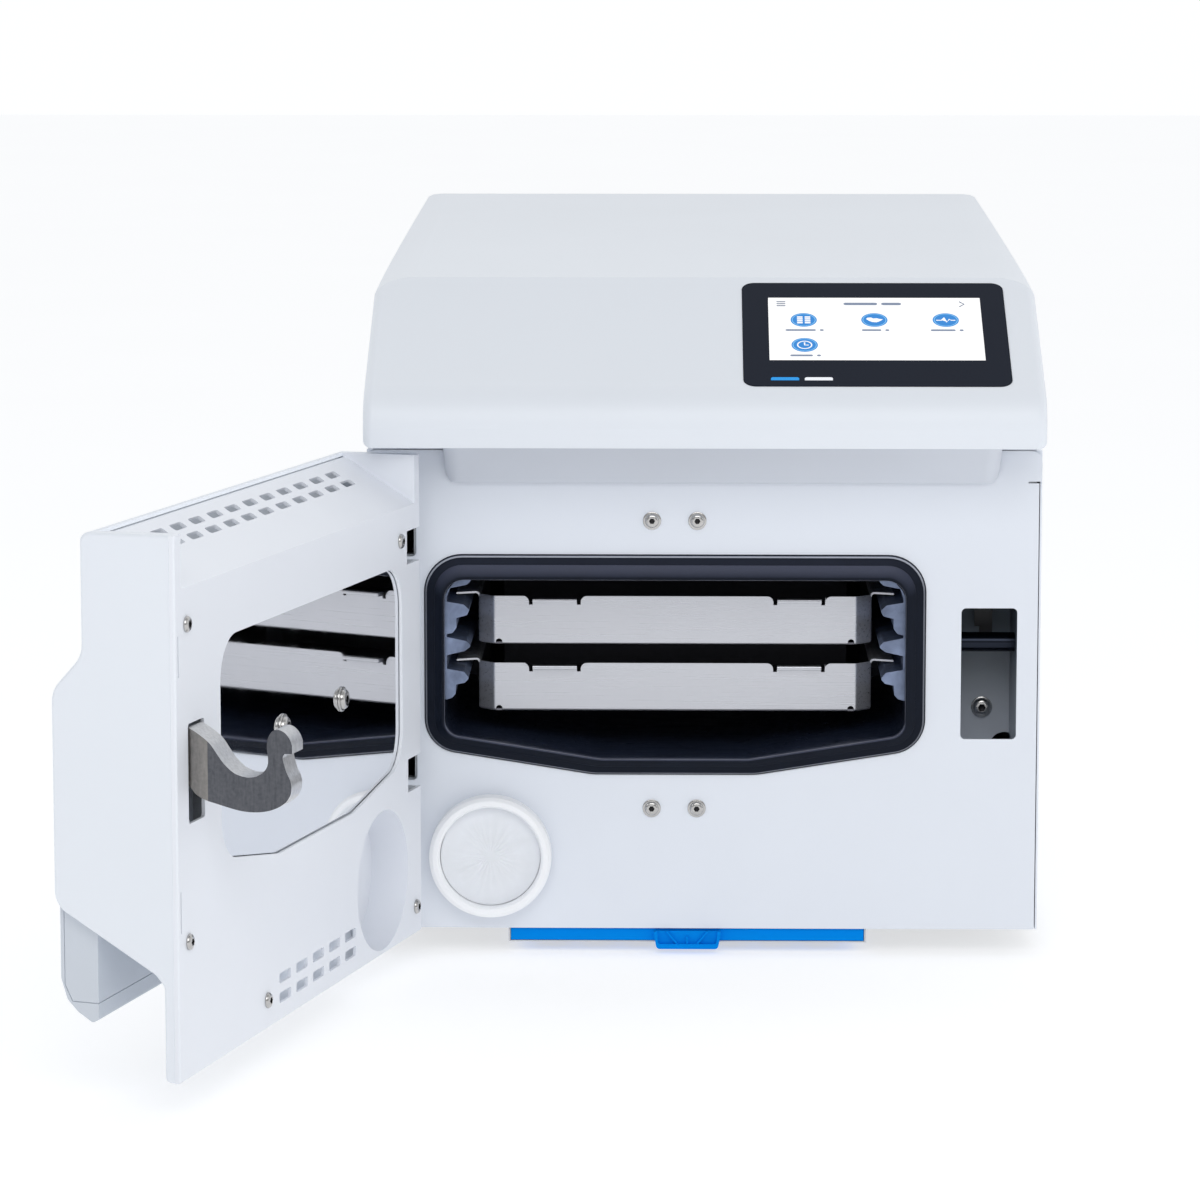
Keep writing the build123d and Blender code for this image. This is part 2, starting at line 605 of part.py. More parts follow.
# =====================================================================================
# Sterile filter, screwed into its socket at the front
# =====================================================================================
with BuildPart() as filter_socket:
    disc(front(2.0), (FILTER_X, FILTER_Z), 26.0, -24)
    disc(front(1.0), (FILTER_X, FILTER_Z), 20.4, -22, Mode.SUBTRACT)
    disc(front(20.0), (FILTER_X, FILTER_Z), 5.0, -12, Mode.SUBTRACT)
write(filter_socket.part, "filter_socket")

with BuildPart() as sterile_filter:
    with BuildSketch(side(FILTER_X)) as ring_half:
        with BuildLine():
            FilletPolyline(
                (-0.8, FILTER_Z), (-0.8, FILTER_Z + 36.4), (-4.0, FILTER_Z + 38.9), (-15.5, FILTER_Z + 38.9),
                (-18.0, FILTER_Z + 36.6), (-18.0, FILTER_Z + 33.4), (-15.2, FILTER_Z + 32.1),
                (-6.0, FILTER_Z + 32.1), (-6.0, FILTER_Z),
                radius=[0, 0.8, 1.5, 1.5, 1.0, 1.0, 1.0, 0.5, 0], close=True,
            )
        make_face()
    revolve(
        ring_half.sketch,
        axis=Axis((ORIGIN_X + FILTER_X, ORIGIN_Y, FILTER_Z), (0, 1, 0)),
    )
    disc(front(-1.0), (FILTER_X, FILTER_Z), 20.34, -16)
    disc(front(-3.0), (FILTER_X, FILTER_Z), 17.5, -30, Mode.SUBTRACT)
write(sterile_filter.part, "sterile_filter_ring")

with BuildPart() as filter_membrane:
    disc(front(-6.2), (FILTER_X, FILTER_Z), 31.8, 6.3)
    # pleats: a wedge groove between neighbouring folds
    with BuildSketch(front(-20)) as groove:
        with Locations((FILTER_X, FILTER_Z)):
            with PolarLocations(17.5, 18):
                Rectangle(22, 1.1)
    extrude(groove.sketch, amount=-8.5, mode=Mode.SUBTRACT)
write(filter_membrane.part, "sterile_filter_membrane")

# =====================================================================================
# Dust filter drawer under the base
# =====================================================================================
DRAWER_X = (-123.0, 103.0)
with BuildPart() as filter_rails:
    # folded sheet rails close beside the drawer, joined in front by a thin cross strip
    for a, b in (((-124.6, -123.4), (-124.6, -116.0)), ((103.4, 104.6), (96.0, 104.6))):
        box(a, (2.4, 206), (6.3, 15.6))
        box(b, (2.4, 206), (6.3, 7.1))
    box((-116.0, 96.0), (2.4, 10), (6.3, 7.1))
write(filter_rails.part, "filter_rails")

with BuildPart() as dust_filter_drawer:
    box(DRAWER_X, (2.2, 204), (7.5, 15.1))
    box((DRAWER_X[0] + 9, DRAWER_X[1] - 9), (12, 196), (8.7, 15.7), Mode.SUBTRACT)
    # open grid below the mat
    for i in range(7):
        x0 = DRAWER_X[0] + 14 + i * 28.8
        for j in range(6):
            y0 = 17 + j * 30.0
            box((x0, x0 + 24), (y0, y0 + 25), (6.7, 9.7), Mode.SUBTRACT)
    # pull tab with ribs
    prism(
        front(2.2),
        [(-31.6, 14.1), (-29.6, 2.9), (9.6, 2.9), (11.7, 14.1)],
        [1.0, 2.5, 2.5, 1.0], 6.2,
    )
    prism(front(-1.0), [(-29.3, 14.7), (-28.6, 6.1), (8.7, 6.1), (9.4, 14.7)], [0.5, 1.5, 1.5, 0.5], 9, Mode.SUBTRACT)
    for points in (
        [(-23.9, 14.1), (-22.6, 14.1), (-15.6, 6.0), (-17.2, 6.0)],
        [(2.5, 14.1), (3.8, 14.1), (-2.9, 6.0), (-4.5, 6.0)],
        [(-10.7, 6.0), (-9.4, 6.0), (-9.4, 10.9), (-10.7, 10.9)],
    ):
        prism(front(-0.5), points, [0] * 4, 2.5)
    box((-31.6, 11.7), (2.0, 6), (7.5, 15.1))
write(dust_filter_drawer.part, "dust_filter_drawer")

with BuildPart() as dust_filter_mat:
    box((DRAWER_X[0] + 9.3, DRAWER_X[1] - 9.3), (12.3, 195.7), (8.9, 14.6))
write(dust_filter_mat.part, "dust_filter_mat")

with BuildPart() as feet:
    for x in (-176, 176):
        for y in (112, 520):
            disc(level(0), (x, y), 14.0, 12.7)
            disc(level(12.7), (x, y), 11.0, 3)
    fillet(feet.faces().filter_by(Axis.Z).group_by(Axis.Z)[0].edges(), 1.5)
write(feet.part, "feet")

# =====================================================================================
# What the body holds behind and below the chamber
# =====================================================================================
with BuildPart() as steam_generator:
    disc(level(BODY_Z + 6), (-140, 380), 44, 150)
    fillet(steam_generator.faces().filter_by(Axis.Z).edges(), 14)
    disc(level(BODY_Z + 172), (-140, 380), 6, 16)
    disc(level(BODY_Z + 171), (-118, 380), 4, 10)
    for a in (-1, 1):
        box((-140 + a * 26 - 5, -140 + a * 26 + 5), (370, 390), (BODY_Z + SHEET, BODY_Z + 12))
write(steam_generator.part, "steam_generator")

with BuildPart() as vacuum_pump:
    # crankcase with two diaphragm heads
    box((-30, 60), (330, 410), (BODY_Z + 8, BODY_Z + 92))
    fillet(vacuum_pump.edges().filter_by(Axis.Z), 6)
    for x in (-8, 38):
        disc(level(BODY_Z + 92), (x, 370), 20, 16)
        disc(level(BODY_Z + 108), (x, 370), 16, 5)
    for x in (-22, 52):
        for y in (340, 400):
            disc(level(BODY_Z + SHEET), (x, y), 6, 6.5)
    # motor housing flanged to the crankcase
    disc(front(410), (15, BODY_Z + 50), 38, -90)
    fillet(vacuum_pump.edges().filter_by(GeomType.CIRCLE).sort_by(Axis.Y)[-1], 8)
write(vacuum_pump.part, "vacuum_pump")

with BuildPart() as valve_block:
    box((-60, 60), (292, 318), (150, 180))
    for i in range(4):
        x = -44 + i * 29.3
        disc(level(180), (x, 305), 7, 8)
        box((x - 11, x + 11), (293, 317), (188, 218))
    disc(front(318), (-50, 165), 5, -12)
    disc(front(318), (50, 165), 5, -12)
    box((-6, 6), (296, 314), (BODY_Z + SHEET, 150))
write(valve_block.part, "valve_block")

with BuildPart() as condenser:
    # finned cooler in front of the fan
    box((70, 170), (488, 492), (140, 240))
    for i in range(21):
        x = 72 + i * 4.8
        box((x - 0.6, x + 0.6), (480, 500), (140, 240))
    for z in (152, 171, 190, 209, 228):
        disc(side(66), (490, z), 4, 108)
    box((64, 68), (482, 498), (138, 242))
    box((172, 176), (482, 498), (138, 242))
    box((66, 70), (484, 496), (BODY_Z + SHEET, 142))
    box((170, 174), (484, 496), (BODY_Z + SHEET, 142))
write(condenser.part, "condenser")

with BuildPart() as fan_frame:
    slab(front(522), (FAN_X - 58, FAN_X + 58), (FAN_Z - 58, FAN_Z + 58), -28)
    disc(front(500), (FAN_X, FAN_Z), 53, -80, Mode.SUBTRACT)
    for a in (-50, 50):
        for b in (-50, 50):
            disc(front(500), (FAN_X + a, FAN_Z + b), 2.2, -80, Mode.SUBTRACT)
    # spider that carries the motor
    disc(front(524), (FAN_X, FAN_Z), 18, -4)
    for a in range(4):
        with BuildSketch(front(524)) as spoke:
            with Locations((FAN_X, FAN_Z)):
                with PolarLocations(36, 1, start_angle=45 + 90 * a):
                    Rectangle(42, 5)
        extrude(spoke.sketch, amount=-4)
    disc(front(528), (FAN_X, FAN_Z), 2.0, -14)
write(fan_frame.part, "fan_frame")

with BuildPart() as fan_rotor:
    disc(front(529), (FAN_X, FAN_Z), 18, -17)
    disc(front(520), (FAN_X, FAN_Z), 2.06, -22.4, Mode.SUBTRACT)
    for a in range(7):
        with BuildSketch(Plane(
            origin=(ORIGIN_X + FAN_X, ORIGIN_Y + 537.5, FAN_Z),
            x_dir=(cos(radians(a * 360 / 7)), 0, sin(radians(a * 360 / 7))),
            z_dir=(
                -sin(radians(a * 360 / 7)) * cos(radians(35)),
                -sin(radians(35)),
                cos(radians(a * 360 / 7)) * cos(radians(35)),
            ),
        )) as blade:
            with BuildLine():
                Polyline((15, -7), (50, -8.5), (51, 8.5), (15, 7), close=True)
            make_face()
        extrude(blade.sketch, amount=0.8, both=True)
write(fan_rotor.part, "fan_rotor")

with BuildPart() as power_supply:
    box((-190, -110), (460, 530), (BODY_Z + SHEET + 0.2, 36))
    box((-190, -110), (450, 520), (80, 150))
    box((-190, -184), (450, 530), (30, 90))
write(power_supply.part, "power_supply")

with BuildPart() as water_tank:
    # feed water reservoir under the hood, with its filler neck and outlet
    box((-185, 10), (150, 500), (330, 398))
    fillet(water_tank.edges().filter_by(Axis.Z), 18)
    fillet(water_tank.faces().sort_by(Axis.Z)[-1].edges(), 8)
    disc(level(398), (-100, 260), 26, 10)
    disc(level(321), (-140, 200), 8, 9)
write(water_tank.part, "water_tank")

with BuildPart() as tank_shelf:
    # bridge over the chamber that carries the tank on four pads
    box((-200, 200), (120, 530), (312, 313.5))
    for x in (-200, 198.5):
        box((x, x + 1.5), (140, 520), (298, 312))
    for p in ((-150, 240), (-150, 460), (-30, 190), (-30, 460)):
        disc(level(313.5), p, 8, 16.4)
    disc(level(300), (-140, 200), 10, 20, Mode.SUBTRACT)
write(tank_shelf.part, "tank_shelf")

with BuildPart() as hose_fittings:
    for x, z in ((-60, 60), (-20, 60), (150, 60)):
        disc(front(REAR_Y - 18), (x, z), 7.0, -18.0)
        with BuildSketch(front(REAR_Y - SHEET - 5)) as nut:
            with Locations((x, z)):
                RegularPolygon(11, 6)
        extrude(nut.sketch, amount=-5)
write(hose_fittings.part, "hose_fittings")

with BuildPart() as mains_inlet:
    slab(front(REAR_Y - 22), (-176.8, -149.2), (41.2, 64.8), -22)
    slab(front(REAR_Y - 16), (-174.5, -151.5), (45, 61), -20, Mode.SUBTRACT)
    for x, z in ((-170, 50.5), (-156, 50.5), (-163, 56)):
        slab(front(REAR_Y - 16), (x - 2, x + 2), (z - 1, z + 1), -11)
write(mains_inlet.part, "mains_inlet")

ROCKER_X, ROCKER_Z, ROCKER_Y = -130.0, 53.0, REAR_Y - 6.0
with BuildPart() as switch_frame:
    slab(front(REAR_Y - 20), (-140.8, -119.2), (42.2, 63.8), -20)
    slab(front(REAR_Y - 15), (-138.6, -121.4), (44.4, 61.6), -20, Mode.SUBTRACT)
    disc(side(-140), (ROCKER_Y, ROCKER_Z), 1.52, 20, Mode.SUBTRACT)
write(switch_frame.part, "mains_switch_frame")

with BuildPart() as mains_rocker:
    with BuildSketch(side(-138.2)) as rocker_side:
        with BuildLine():
            Polyline(
                (REAR_Y - 8.6, ROCKER_Z - 6.4), (REAR_Y - 2.6, ROCKER_Z - 7.6), (REAR_Y - 2.6, ROCKER_Z),
                (REAR_Y - 0.6, ROCKER_Z + 6.6), (REAR_Y - 6.6, ROCKER_Z + 6.8), close=True,
            )
        make_face()
    extrude(rocker_side.sketch, amount=16.4)
    disc(side(-139.6), (ROCKER_Y, ROCKER_Z), 1.47, 19.2)
write(mains_rocker.part, "mains_rocker")

# =====================================================================================
# Door, drawn in its own (s, n, z) frame
# =====================================================================================
DOOR_PROFILE = [
    (0, DOOR_BOTTOM), (9, DOOR_BOTTOM), (9, 75), (14, 81.5), (73, 117.5), (73, 237), (55, 257),
    (55, DOOR_TOP), (0, DOOR_TOP),
]
DOOR_PROFILE_R = [0, 3, 6, 8, 14, 16, 16, 5, 0]
DOOR_INNER = [
    (-1, DOOR_BOTTOM + 2), (7, DOOR_BOTTOM + 2), (7, 76.1), (12.5, 83.0), (71, 118.6), (71, 236.2),
    (53, 256.3), (53, DOOR_TOP - 2), (-1, DOOR_TOP - 2),
]
DOOR_INNER_R = [0, 1, 5, 6, 12, 17, 15, 3, 0]
PLATE_CUT = [
    (33.5, 259.0), (33.5, 134.8), (128.0, 119.8), (260.0, 119.8), (354.5, 134.8), (354.5, 259.0),
]
PLATE_CUT_R = [26, 26, 12, 12, 26, 26]
POCKET = (73.4, 67.9, 48.8, 43.5)     # s, z, semi-axes of the filter's recess
BEVEL = (294.7, 45.0)                 # the top recess starts at this height and reaches this deep
BEVEL_TOP = 322.4                     # it ends below the cover's rim
BEVEL_K = (BEVEL_TOP - BEVEL[0]) / BEVEL[1]
PLATE_BOLTS = [(142.8, 192.0), (246.8, 192.0)]
DOOR_SCREWS = [(406, 274.4), (36.1, 274.3), (407.5, 98.1), (283.1, 38.1), (8.9, 38.6)]


def pocket_disc(n, grow, depth, mode=Mode.ADD):
    with BuildSketch(door_face(n)) as ellipse:
        with Locations((POCKET[0], POCKET[1])):
            Ellipse(POCKET[2] + grow, POCKET[3] + grow)
    extrude(ellipse.sketch, amount=depth, mode=mode)


def hinge_windows():
    """The hinge arms need a slot that wraps round the door's hinge corner."""
    for z in HINGE_Z:
        prism(
            door_level(z + 10.5),
            [(-5, -2), (23.3, -2), (23.3, 14), (8, 36), (-5, 36)], [0, 0, 2, 2, 0], 21,
            Mode.SUBTRACT,
        )


with BuildPart() as door_inner_panel:
    # face sheet with a shallow rim all round that the cover's edge meets
    slab(door_face(0), (DOOR_START, DOOR_LEN), (DOOR_BOTTOM, DOOR_TOP), 3.2)
    fillet(door_inner_panel.faces().sort_by(Axis(door_point(0, 0, 0), OUTWARD))[0].edges(), 1.2)
    slab(
        door_face(2.0), (DOOR_START + DOOR_WALL, DOOR_LEN - DOOR_WALL), (DOOR_BOTTOM + 2, DOOR_TOP - 2), 2,
        Mode.SUBTRACT,
    )
    # the recess along the top that clears the hood's chin, with the vent slots
    prism(
        door_end(8), [(-1, BEVEL[0] - BEVEL_K), (BEVEL[1], BEVEL_TOP), (BEVEL[1], DOOR_TOP + 5), (-1, DOOR_TOP + 5)],
        [0] * 4, -405, Mode.SUBTRACT,
    )
    drop = 2.0 * hypot(1, BEVEL_K)
    prism(
        door_end(6),
        [(0, BEVEL[0]), (BEVEL[1], BEVEL_TOP), (BEVEL[1] + 2, BEVEL_TOP), (BEVEL[1] + 2, BEVEL_TOP + 2 * BEVEL_K - drop),
         (2.0, BEVEL[0] + 2 * BEVEL_K - drop), (0, BEVEL[0] - 1)],
        [0] * 6, -409,
    )
    # recess end walls
    for s in (6.0, 413.0):
        prism(
            door_end(s),
            [(0, BEVEL[0] - 0.5), (BEVEL[1] + 2, BEVEL_TOP), (BEVEL[1] + 2, DOOR_TOP), (0, DOOR_TOP)], [0] * 4, -2.0,
        )
    vent_plane = Plane(
        origin=door_point(0, 0, BEVEL[0]),
        x_dir=ALONG,
        z_dir=(Vector(*OUTWARD) * -BEVEL_K + Vector(0, 0, 1)).normalized(),
    )
    across = 1 / hypot(1, BEVEL_K)
    up_sign = 1.0 if vent_plane.y_dir.Z > 0 else -1.0
    for n, first in ((36.1, 59.0), (27.6, 55.0)):
        with BuildSketch(vent_plane.offset(-5)) as vents:
            for i in range(11):
                with Locations((first + i * 29.3, up_sign * n / across)):
                    RectangleRounded(18.4, 5.4, 1.8)
        extrude(vents.sketch, amount=10, mode=Mode.SUBTRACT)
    for z in (46.2, 34.7):
        with BuildSketch(door_face(-1)) as vents:
            for i in range(5):
                with Locations((136 + i * 29.2, z)):
                    RectangleRounded(20, 6, 1.6)
        extrude(vents.sketch, amount=5, mode=Mode.SUBTRACT)
    prism(door_face(-1), PLATE_CUT, PLATE_CUT_R, 5, Mode.SUBTRACT)
    # hook slot
    prism(door_face(-1), [(380.4, 163.3), (405.4, 163.3), (405.4, 219), (380.4, 219)], [2] * 4, 5, Mode.SUBTRACT)
    # recess for the sterile filter
    pocket_disc(0, 1.6, 25.6)
    pocket_disc(-1, 0, 25.0, Mode.SUBTRACT)
    hinge_windows()
    # release slits beside the free edge
    for z in ((246.5, 269.5), (105, 128)):
        slab(door_face(-1), (418.2, 419.6), z, 5, Mode.SUBTRACT)
    for p in DOOR_SCREWS:
        disc(door_face(-1), p, 2.2, 5, Mode.SUBTRACT)
write(door_inner_panel.part, "door_inner_panel")

with BuildPart() as door_outer_cover:
    prism(door_end(DOOR_START), DOOR_PROFILE, DOOR_PROFILE_R, DOOR_START - DOOR_LEN)
    for end in (0, -1):
        rim = door_outer_cover.faces().sort_by(Axis(door_point(0, 0, 0), ALONG))[end]
        fillet(rim.edges().filter_by(lambda e: e.length < 290), 1.8)
    # bulge over the filter recess, on the hidden outer face
    pocket_disc(0, 2.9, 28.0)
    slab(door_face(-5), (DOOR_START, DOOR_LEN), (0, DOOR_BOTTOM), 60, Mode.SUBTRACT)
    prism(door_end(DOOR_START + 2), DOOR_INNER, DOOR_INNER_R, DOOR_START + 4 - DOOR_LEN, Mode.SUBTRACT)
    pocket_disc(-1, 1.7, 27.0, Mode.SUBTRACT)
    prism(
        door_end(5.8),
        [(-1, BEVEL[0] - BEVEL_K - 3), (BEVEL[1] + 2.2, BEVEL_TOP + 2.2 * BEVEL_K - 3), (BEVEL[1] + 2.2, DOOR_TOP + 5), (-1, DOOR_TOP + 5)],
        [0] * 4, -409.4, Mode.SUBTRACT,
    )
    slab(door_face(-1), (DOOR_START - 1, DOOR_LEN + 1), (0, DOOR_TOP + 5), 4.3, Mode.SUBTRACT)
    hinge_windows()
write(door_outer_cover.part, "door_outer_cover")

with BuildPart() as door_grip:
    # finger lip below the door's deep part
    prism(
        door_end(8),
        [(50.8, 118), (50.8, 52.5), (54.5, 50.8), (63.0, 56.5), (69.2, 63.2), (72.8, 75.0), (72.8, 118)],
        [0, 2.0, 2.5, 6, 6, 8, 0], -407,
    )
    prism(door_end(-10), DOOR_PROFILE, DOOR_PROFILE_R, -(DOOR_LEN + 20), Mode.SUBTRACT)
    # seam between the grip's shell and its insert: along the inner face and round the free end
    prism(
        door_end(0), [(50, 61.6), (51.4, 61.6), (51.4, 62.1), (50, 62.1)], [0] * 4, -416, Mode.SUBTRACT,
    )
    prism(
        door_end(414.4),
        [(50, 61.6), (66.3, 62.0), (70.8, 71.4), (70.8, 119), (70.3, 119), (70.3, 71.5), (66.0, 62.5), (50, 62.1)],
        [0] * 8, -2, Mode.SUBTRACT,
    )
write(door_grip.part, "door_grip")

with BuildPart() as door_plate:
    # polished plate in the panel's opening that closes on the gasket
    prism(
        door_face(1.9),
        [(34.0, 258.5), (34.0, 135.25), (128.05, 120.3), (259.95, 120.3), (354.0, 135.25), (354.0, 258.5)],
        [25.5, 25.5, 12, 12, 25.5, 25.5], 4.4,
    )
    chamfer(door_plate.faces().sort_by(Axis(door_point(0, 0, 0), OUTWARD))[0].edges(), 0.5)
    slab(door_face(1.0), (0, 400), (100, 280), 1.3, Mode.SUBTRACT)
    for s, z in PLATE_BOLTS:
        disc(door_face(0), (s, z), 3.1, 10, Mode.SUBTRACT)
write(door_plate.part, "door_plate")

with BuildPart() as door_core:
    # pressed steel carrier that joins hinges, plate and latch
    slab(door_face(8.5), (26.5, 374.0), (118, 262), 3.0)
    slab(door_face(8.5), (26.5, 374.0), (118, 121), 14.0)
    slab(door_face(8.5), (26.5, 374.0), (259, 262), 14.0)
    for z in (165, 213):
        slab(door_face(11.5), (26.5, 374.0), (z, z + 3), 11.0)
    for s, z in PLATE_BOLTS:
        disc(door_face(6.4), (s, z), 9.0, 2.2)
        disc(door_face(6.0), (s, z), 3.1, 10, Mode.SUBTRACT)
    # latch box: two bearing cheeks, a bridge behind the hook and the stop it rests against
    slab(door_face(8.5), (374.0, 377.0), (160, 225), 22.0)
    slab(door_face(8.5), (409.0, 412.0), (160, 225), 22.0)
    slab(door_face(30.5), (374.0, 412.0), (160, 225), 2.0)
    slab(door_face(24.0), (377.0, 409.0), (211, 222), 6.5)
    disc(door_end(370), (HOOK_PIVOT[0], HOOK_PIVOT[1]), 4.0, -50, Mode.SUBTRACT)
    # room for the pivot's head
    slab(door_face(5), (371.5, 374.0), (191, 211), 20, Mode.SUBTRACT)
write(door_core.part, "door_core")

with BuildPart() as door_plate_bolts:
    for s, z in PLATE_BOLTS:
        disc(door_face(2.2), (s, z), 7.6, -1.2)
        disc(door_face(1.0), (s, z), 6.2, -2.6)
        with BuildSketch(door_face(-0.4)) as socket:
            with Locations((s, z)):
                RegularPolygon(2.4, 6)
        extrude(socket.sketch, amount=-5, mode=Mode.SUBTRACT)
        disc(door_face(2.2), (s, z), 3.0, 12)
write(door_plate_bolts.part, "door_plate_bolts")

with BuildPart() as door_screws:
    for s, z in DOOR_SCREWS:
        disc(door_face(-0.1), (s, z), 4.6, -2.3)
        with BuildSketch(door_face(-1.0)) as socket:
            with Locations((s, z)):
                RegularPolygon(1.7, 6)
        extrude(socket.sketch, amount=-4, mode=Mode.SUBTRACT)
        disc(door_face(-0.1), (s, z), 2.0, 6.6)
write(door_screws.part, "door_screws")

PIVOT_S = HINGE_X - DOOR_CLOSED_X
PIVOT_N = -DOOR_GAP - HINGE_Y
with BuildPart() as door_hinge_blocks:
    for z in HINGE_Z:
        # two ears above and below the arm, joined by a web clear of the arm's swing
        prism(
            door_level(z + 16.0),
            [(2.4, 20.0), (26.0, 20.0), (26.0, 40.0), (2.4, 40.0)], [4, 0, 0, 6], 10.4,
        )
        prism(
            door_level(z - 5.6),
            [(2.4, 20.0), (26.0, 20.0), (26.0, 40.0), (2.4, 40.0)], [4, 0, 0, 6], 10.4,
        )
        slab(door_level(z + 16.0), (22.5, 26.0), (8.0, 40.0), 32.0)
        disc(door_level(z + 20), (PIVOT_S, PIVOT_N), PIN_R + PIN_CLEAR, 40, Mode.SUBTRACT)
write(door_hinge_blocks.part, "door_hinge_blocks")

HOOK = [
    (22.0, 216.9), (0.6, 216.9), (-6.0, 213.1), (-11.8, 208.8), (-15.7, 202.9), (-19.6, 197.4), (-25.4, 192.2),
    (-32.2, 190.2), (-38.0, 190.9), (-42.4, 193.7), (-44.6, 197.4), (-44.8, 201.6), (-43.9, 207.4),
    (-44.6, 213.0), (-47.2, 216.8), (-50.6, 217.7), (-54.0, 216.2), (-56.9, 213.0), (-58.3, 209.0),
    (-58.3, 204.3), (-54.0, 204.1), (-52.9, 202.6), (-53.3, 199.8), (-54.3, 196.2), (-55.2, 193.4),
    (-56.9, 190.3), (-57.9, 186.2), (-57.4, 181.6), (-54.8, 177.4), (-50.6, 174.4), (-44.8, 172.1),
    (-38.0, 171.1), (-30.3, 171.4), (-23.5, 172.9), (-15.7, 175.1), (-8.9, 176.9), (-3.1, 179.9),
    (0.0, 184.6), (8.0, 187.0), (22.0, 187.0),
]
with BuildPart() as latch_hook:
    prism(
        door_end(HOOK_S[0]), HOOK, flowing(HOOK, {0, 1, 18, 19, 20, len(HOOK) - 1}),
        -(HOOK_S[1] - HOOK_S[0]),
    )
    disc(door_end(370), (HOOK_PIVOT[0], HOOK_PIVOT[1]), 4.05, -50, Mode.SUBTRACT)
    # the outer flank leans in towards the nose so that it clears the slot on its arc
    prism(
        door_level(240),
        [(HOOK_S[1], -10.5), (HOOK_S[1] - 3.6, -60.0), (HOOK_S[1] + 2, -60.0), (HOOK_S[1] + 2, -10.5)],
        [0] * 4, 90, Mode.SUBTRACT,
    )
write(latch_hook.part, "latch_hook")

with BuildPart() as latch_pivot:
    disc(door_end(373.0), (HOOK_PIVOT[0], HOOK_PIVOT[1]), 7.5, -0.9)
    disc(door_end(373.0), (HOOK_PIVOT[0], HOOK_PIVOT[1]), 3.98, -43.0)
write(latch_pivot.part, "latch_pivot")

with BuildPart() as latch_spring:
    # torsion spring coiled on the pivot beside the hook
    with BuildSketch(door_end(378.0)) as coil:
        with Locations((HOOK_PIVOT[0], HOOK_PIVOT[1])):
            Circle(7.2)
            Circle(4.3, mode=Mode.SUBTRACT)
    extrude(coil.sketch, amount=-3.6)
write(latch_spring.part, "latch_spring")
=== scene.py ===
from math import atan2, cos, hypot, pi, radians, sin, sqrt, tan

import bmesh
import bpy
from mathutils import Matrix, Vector


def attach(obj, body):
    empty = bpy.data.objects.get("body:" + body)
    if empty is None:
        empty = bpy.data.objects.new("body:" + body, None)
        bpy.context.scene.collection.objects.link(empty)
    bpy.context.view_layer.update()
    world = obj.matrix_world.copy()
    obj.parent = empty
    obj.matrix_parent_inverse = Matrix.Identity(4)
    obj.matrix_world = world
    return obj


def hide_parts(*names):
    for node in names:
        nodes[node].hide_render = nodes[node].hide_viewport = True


# A benchtop steam autoclave, its door standing open at 105 degrees. The frame holds every
# part; this file gives each one its finish and builds the finely detailed pieces.
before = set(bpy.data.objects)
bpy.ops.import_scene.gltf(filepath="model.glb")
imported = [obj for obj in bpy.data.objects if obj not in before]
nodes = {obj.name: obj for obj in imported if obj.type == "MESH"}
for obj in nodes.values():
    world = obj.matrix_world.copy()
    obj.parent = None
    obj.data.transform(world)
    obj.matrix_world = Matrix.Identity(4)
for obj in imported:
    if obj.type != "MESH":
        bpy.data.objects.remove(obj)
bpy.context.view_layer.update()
scene = bpy.context.scene

# ---- planes of the object, mm in, metres out ----
OX, OY = 72.6972, -53.7218
SLANT = radians(26.0)


def machine(x, y, z):
    """X to the operator's right, Y to the rear from the front panel's face, Z up."""
    return Vector(((OX + x) / 1000, (OY + y) / 1000, z / 1000))


def slope(x, s, h):
    """On the slanted control face: x, distance up the face, height off it."""
    return machine(
        x, -49.0 + cos(SLANT) * s - sin(SLANT) * h, 363.0 + sin(SLANT) * s + cos(SLANT) * h
    )


OPEN_C, OPEN_S = cos(radians(105)), sin(radians(105))
ALONG = Vector((OPEN_C, -OPEN_S, 0))
OUTWARD = Vector((-OPEN_S, -OPEN_C, 0))
_dx, _dy = -211.0 + 207.6, -3.0 + 31.8
DOOR_0 = machine(-207.6 + OPEN_C * _dx + OPEN_S * _dy, -31.8 - OPEN_S * _dx + OPEN_C * _dy, 0)


def door(s, n, z):
    """On the door: s from the hinge end, n outwards from the inner face, z up."""
    return DOOR_0 + ALONG * (s / 1000) + OUTWARD * (n / 1000) + Vector((0, 0, z / 1000))


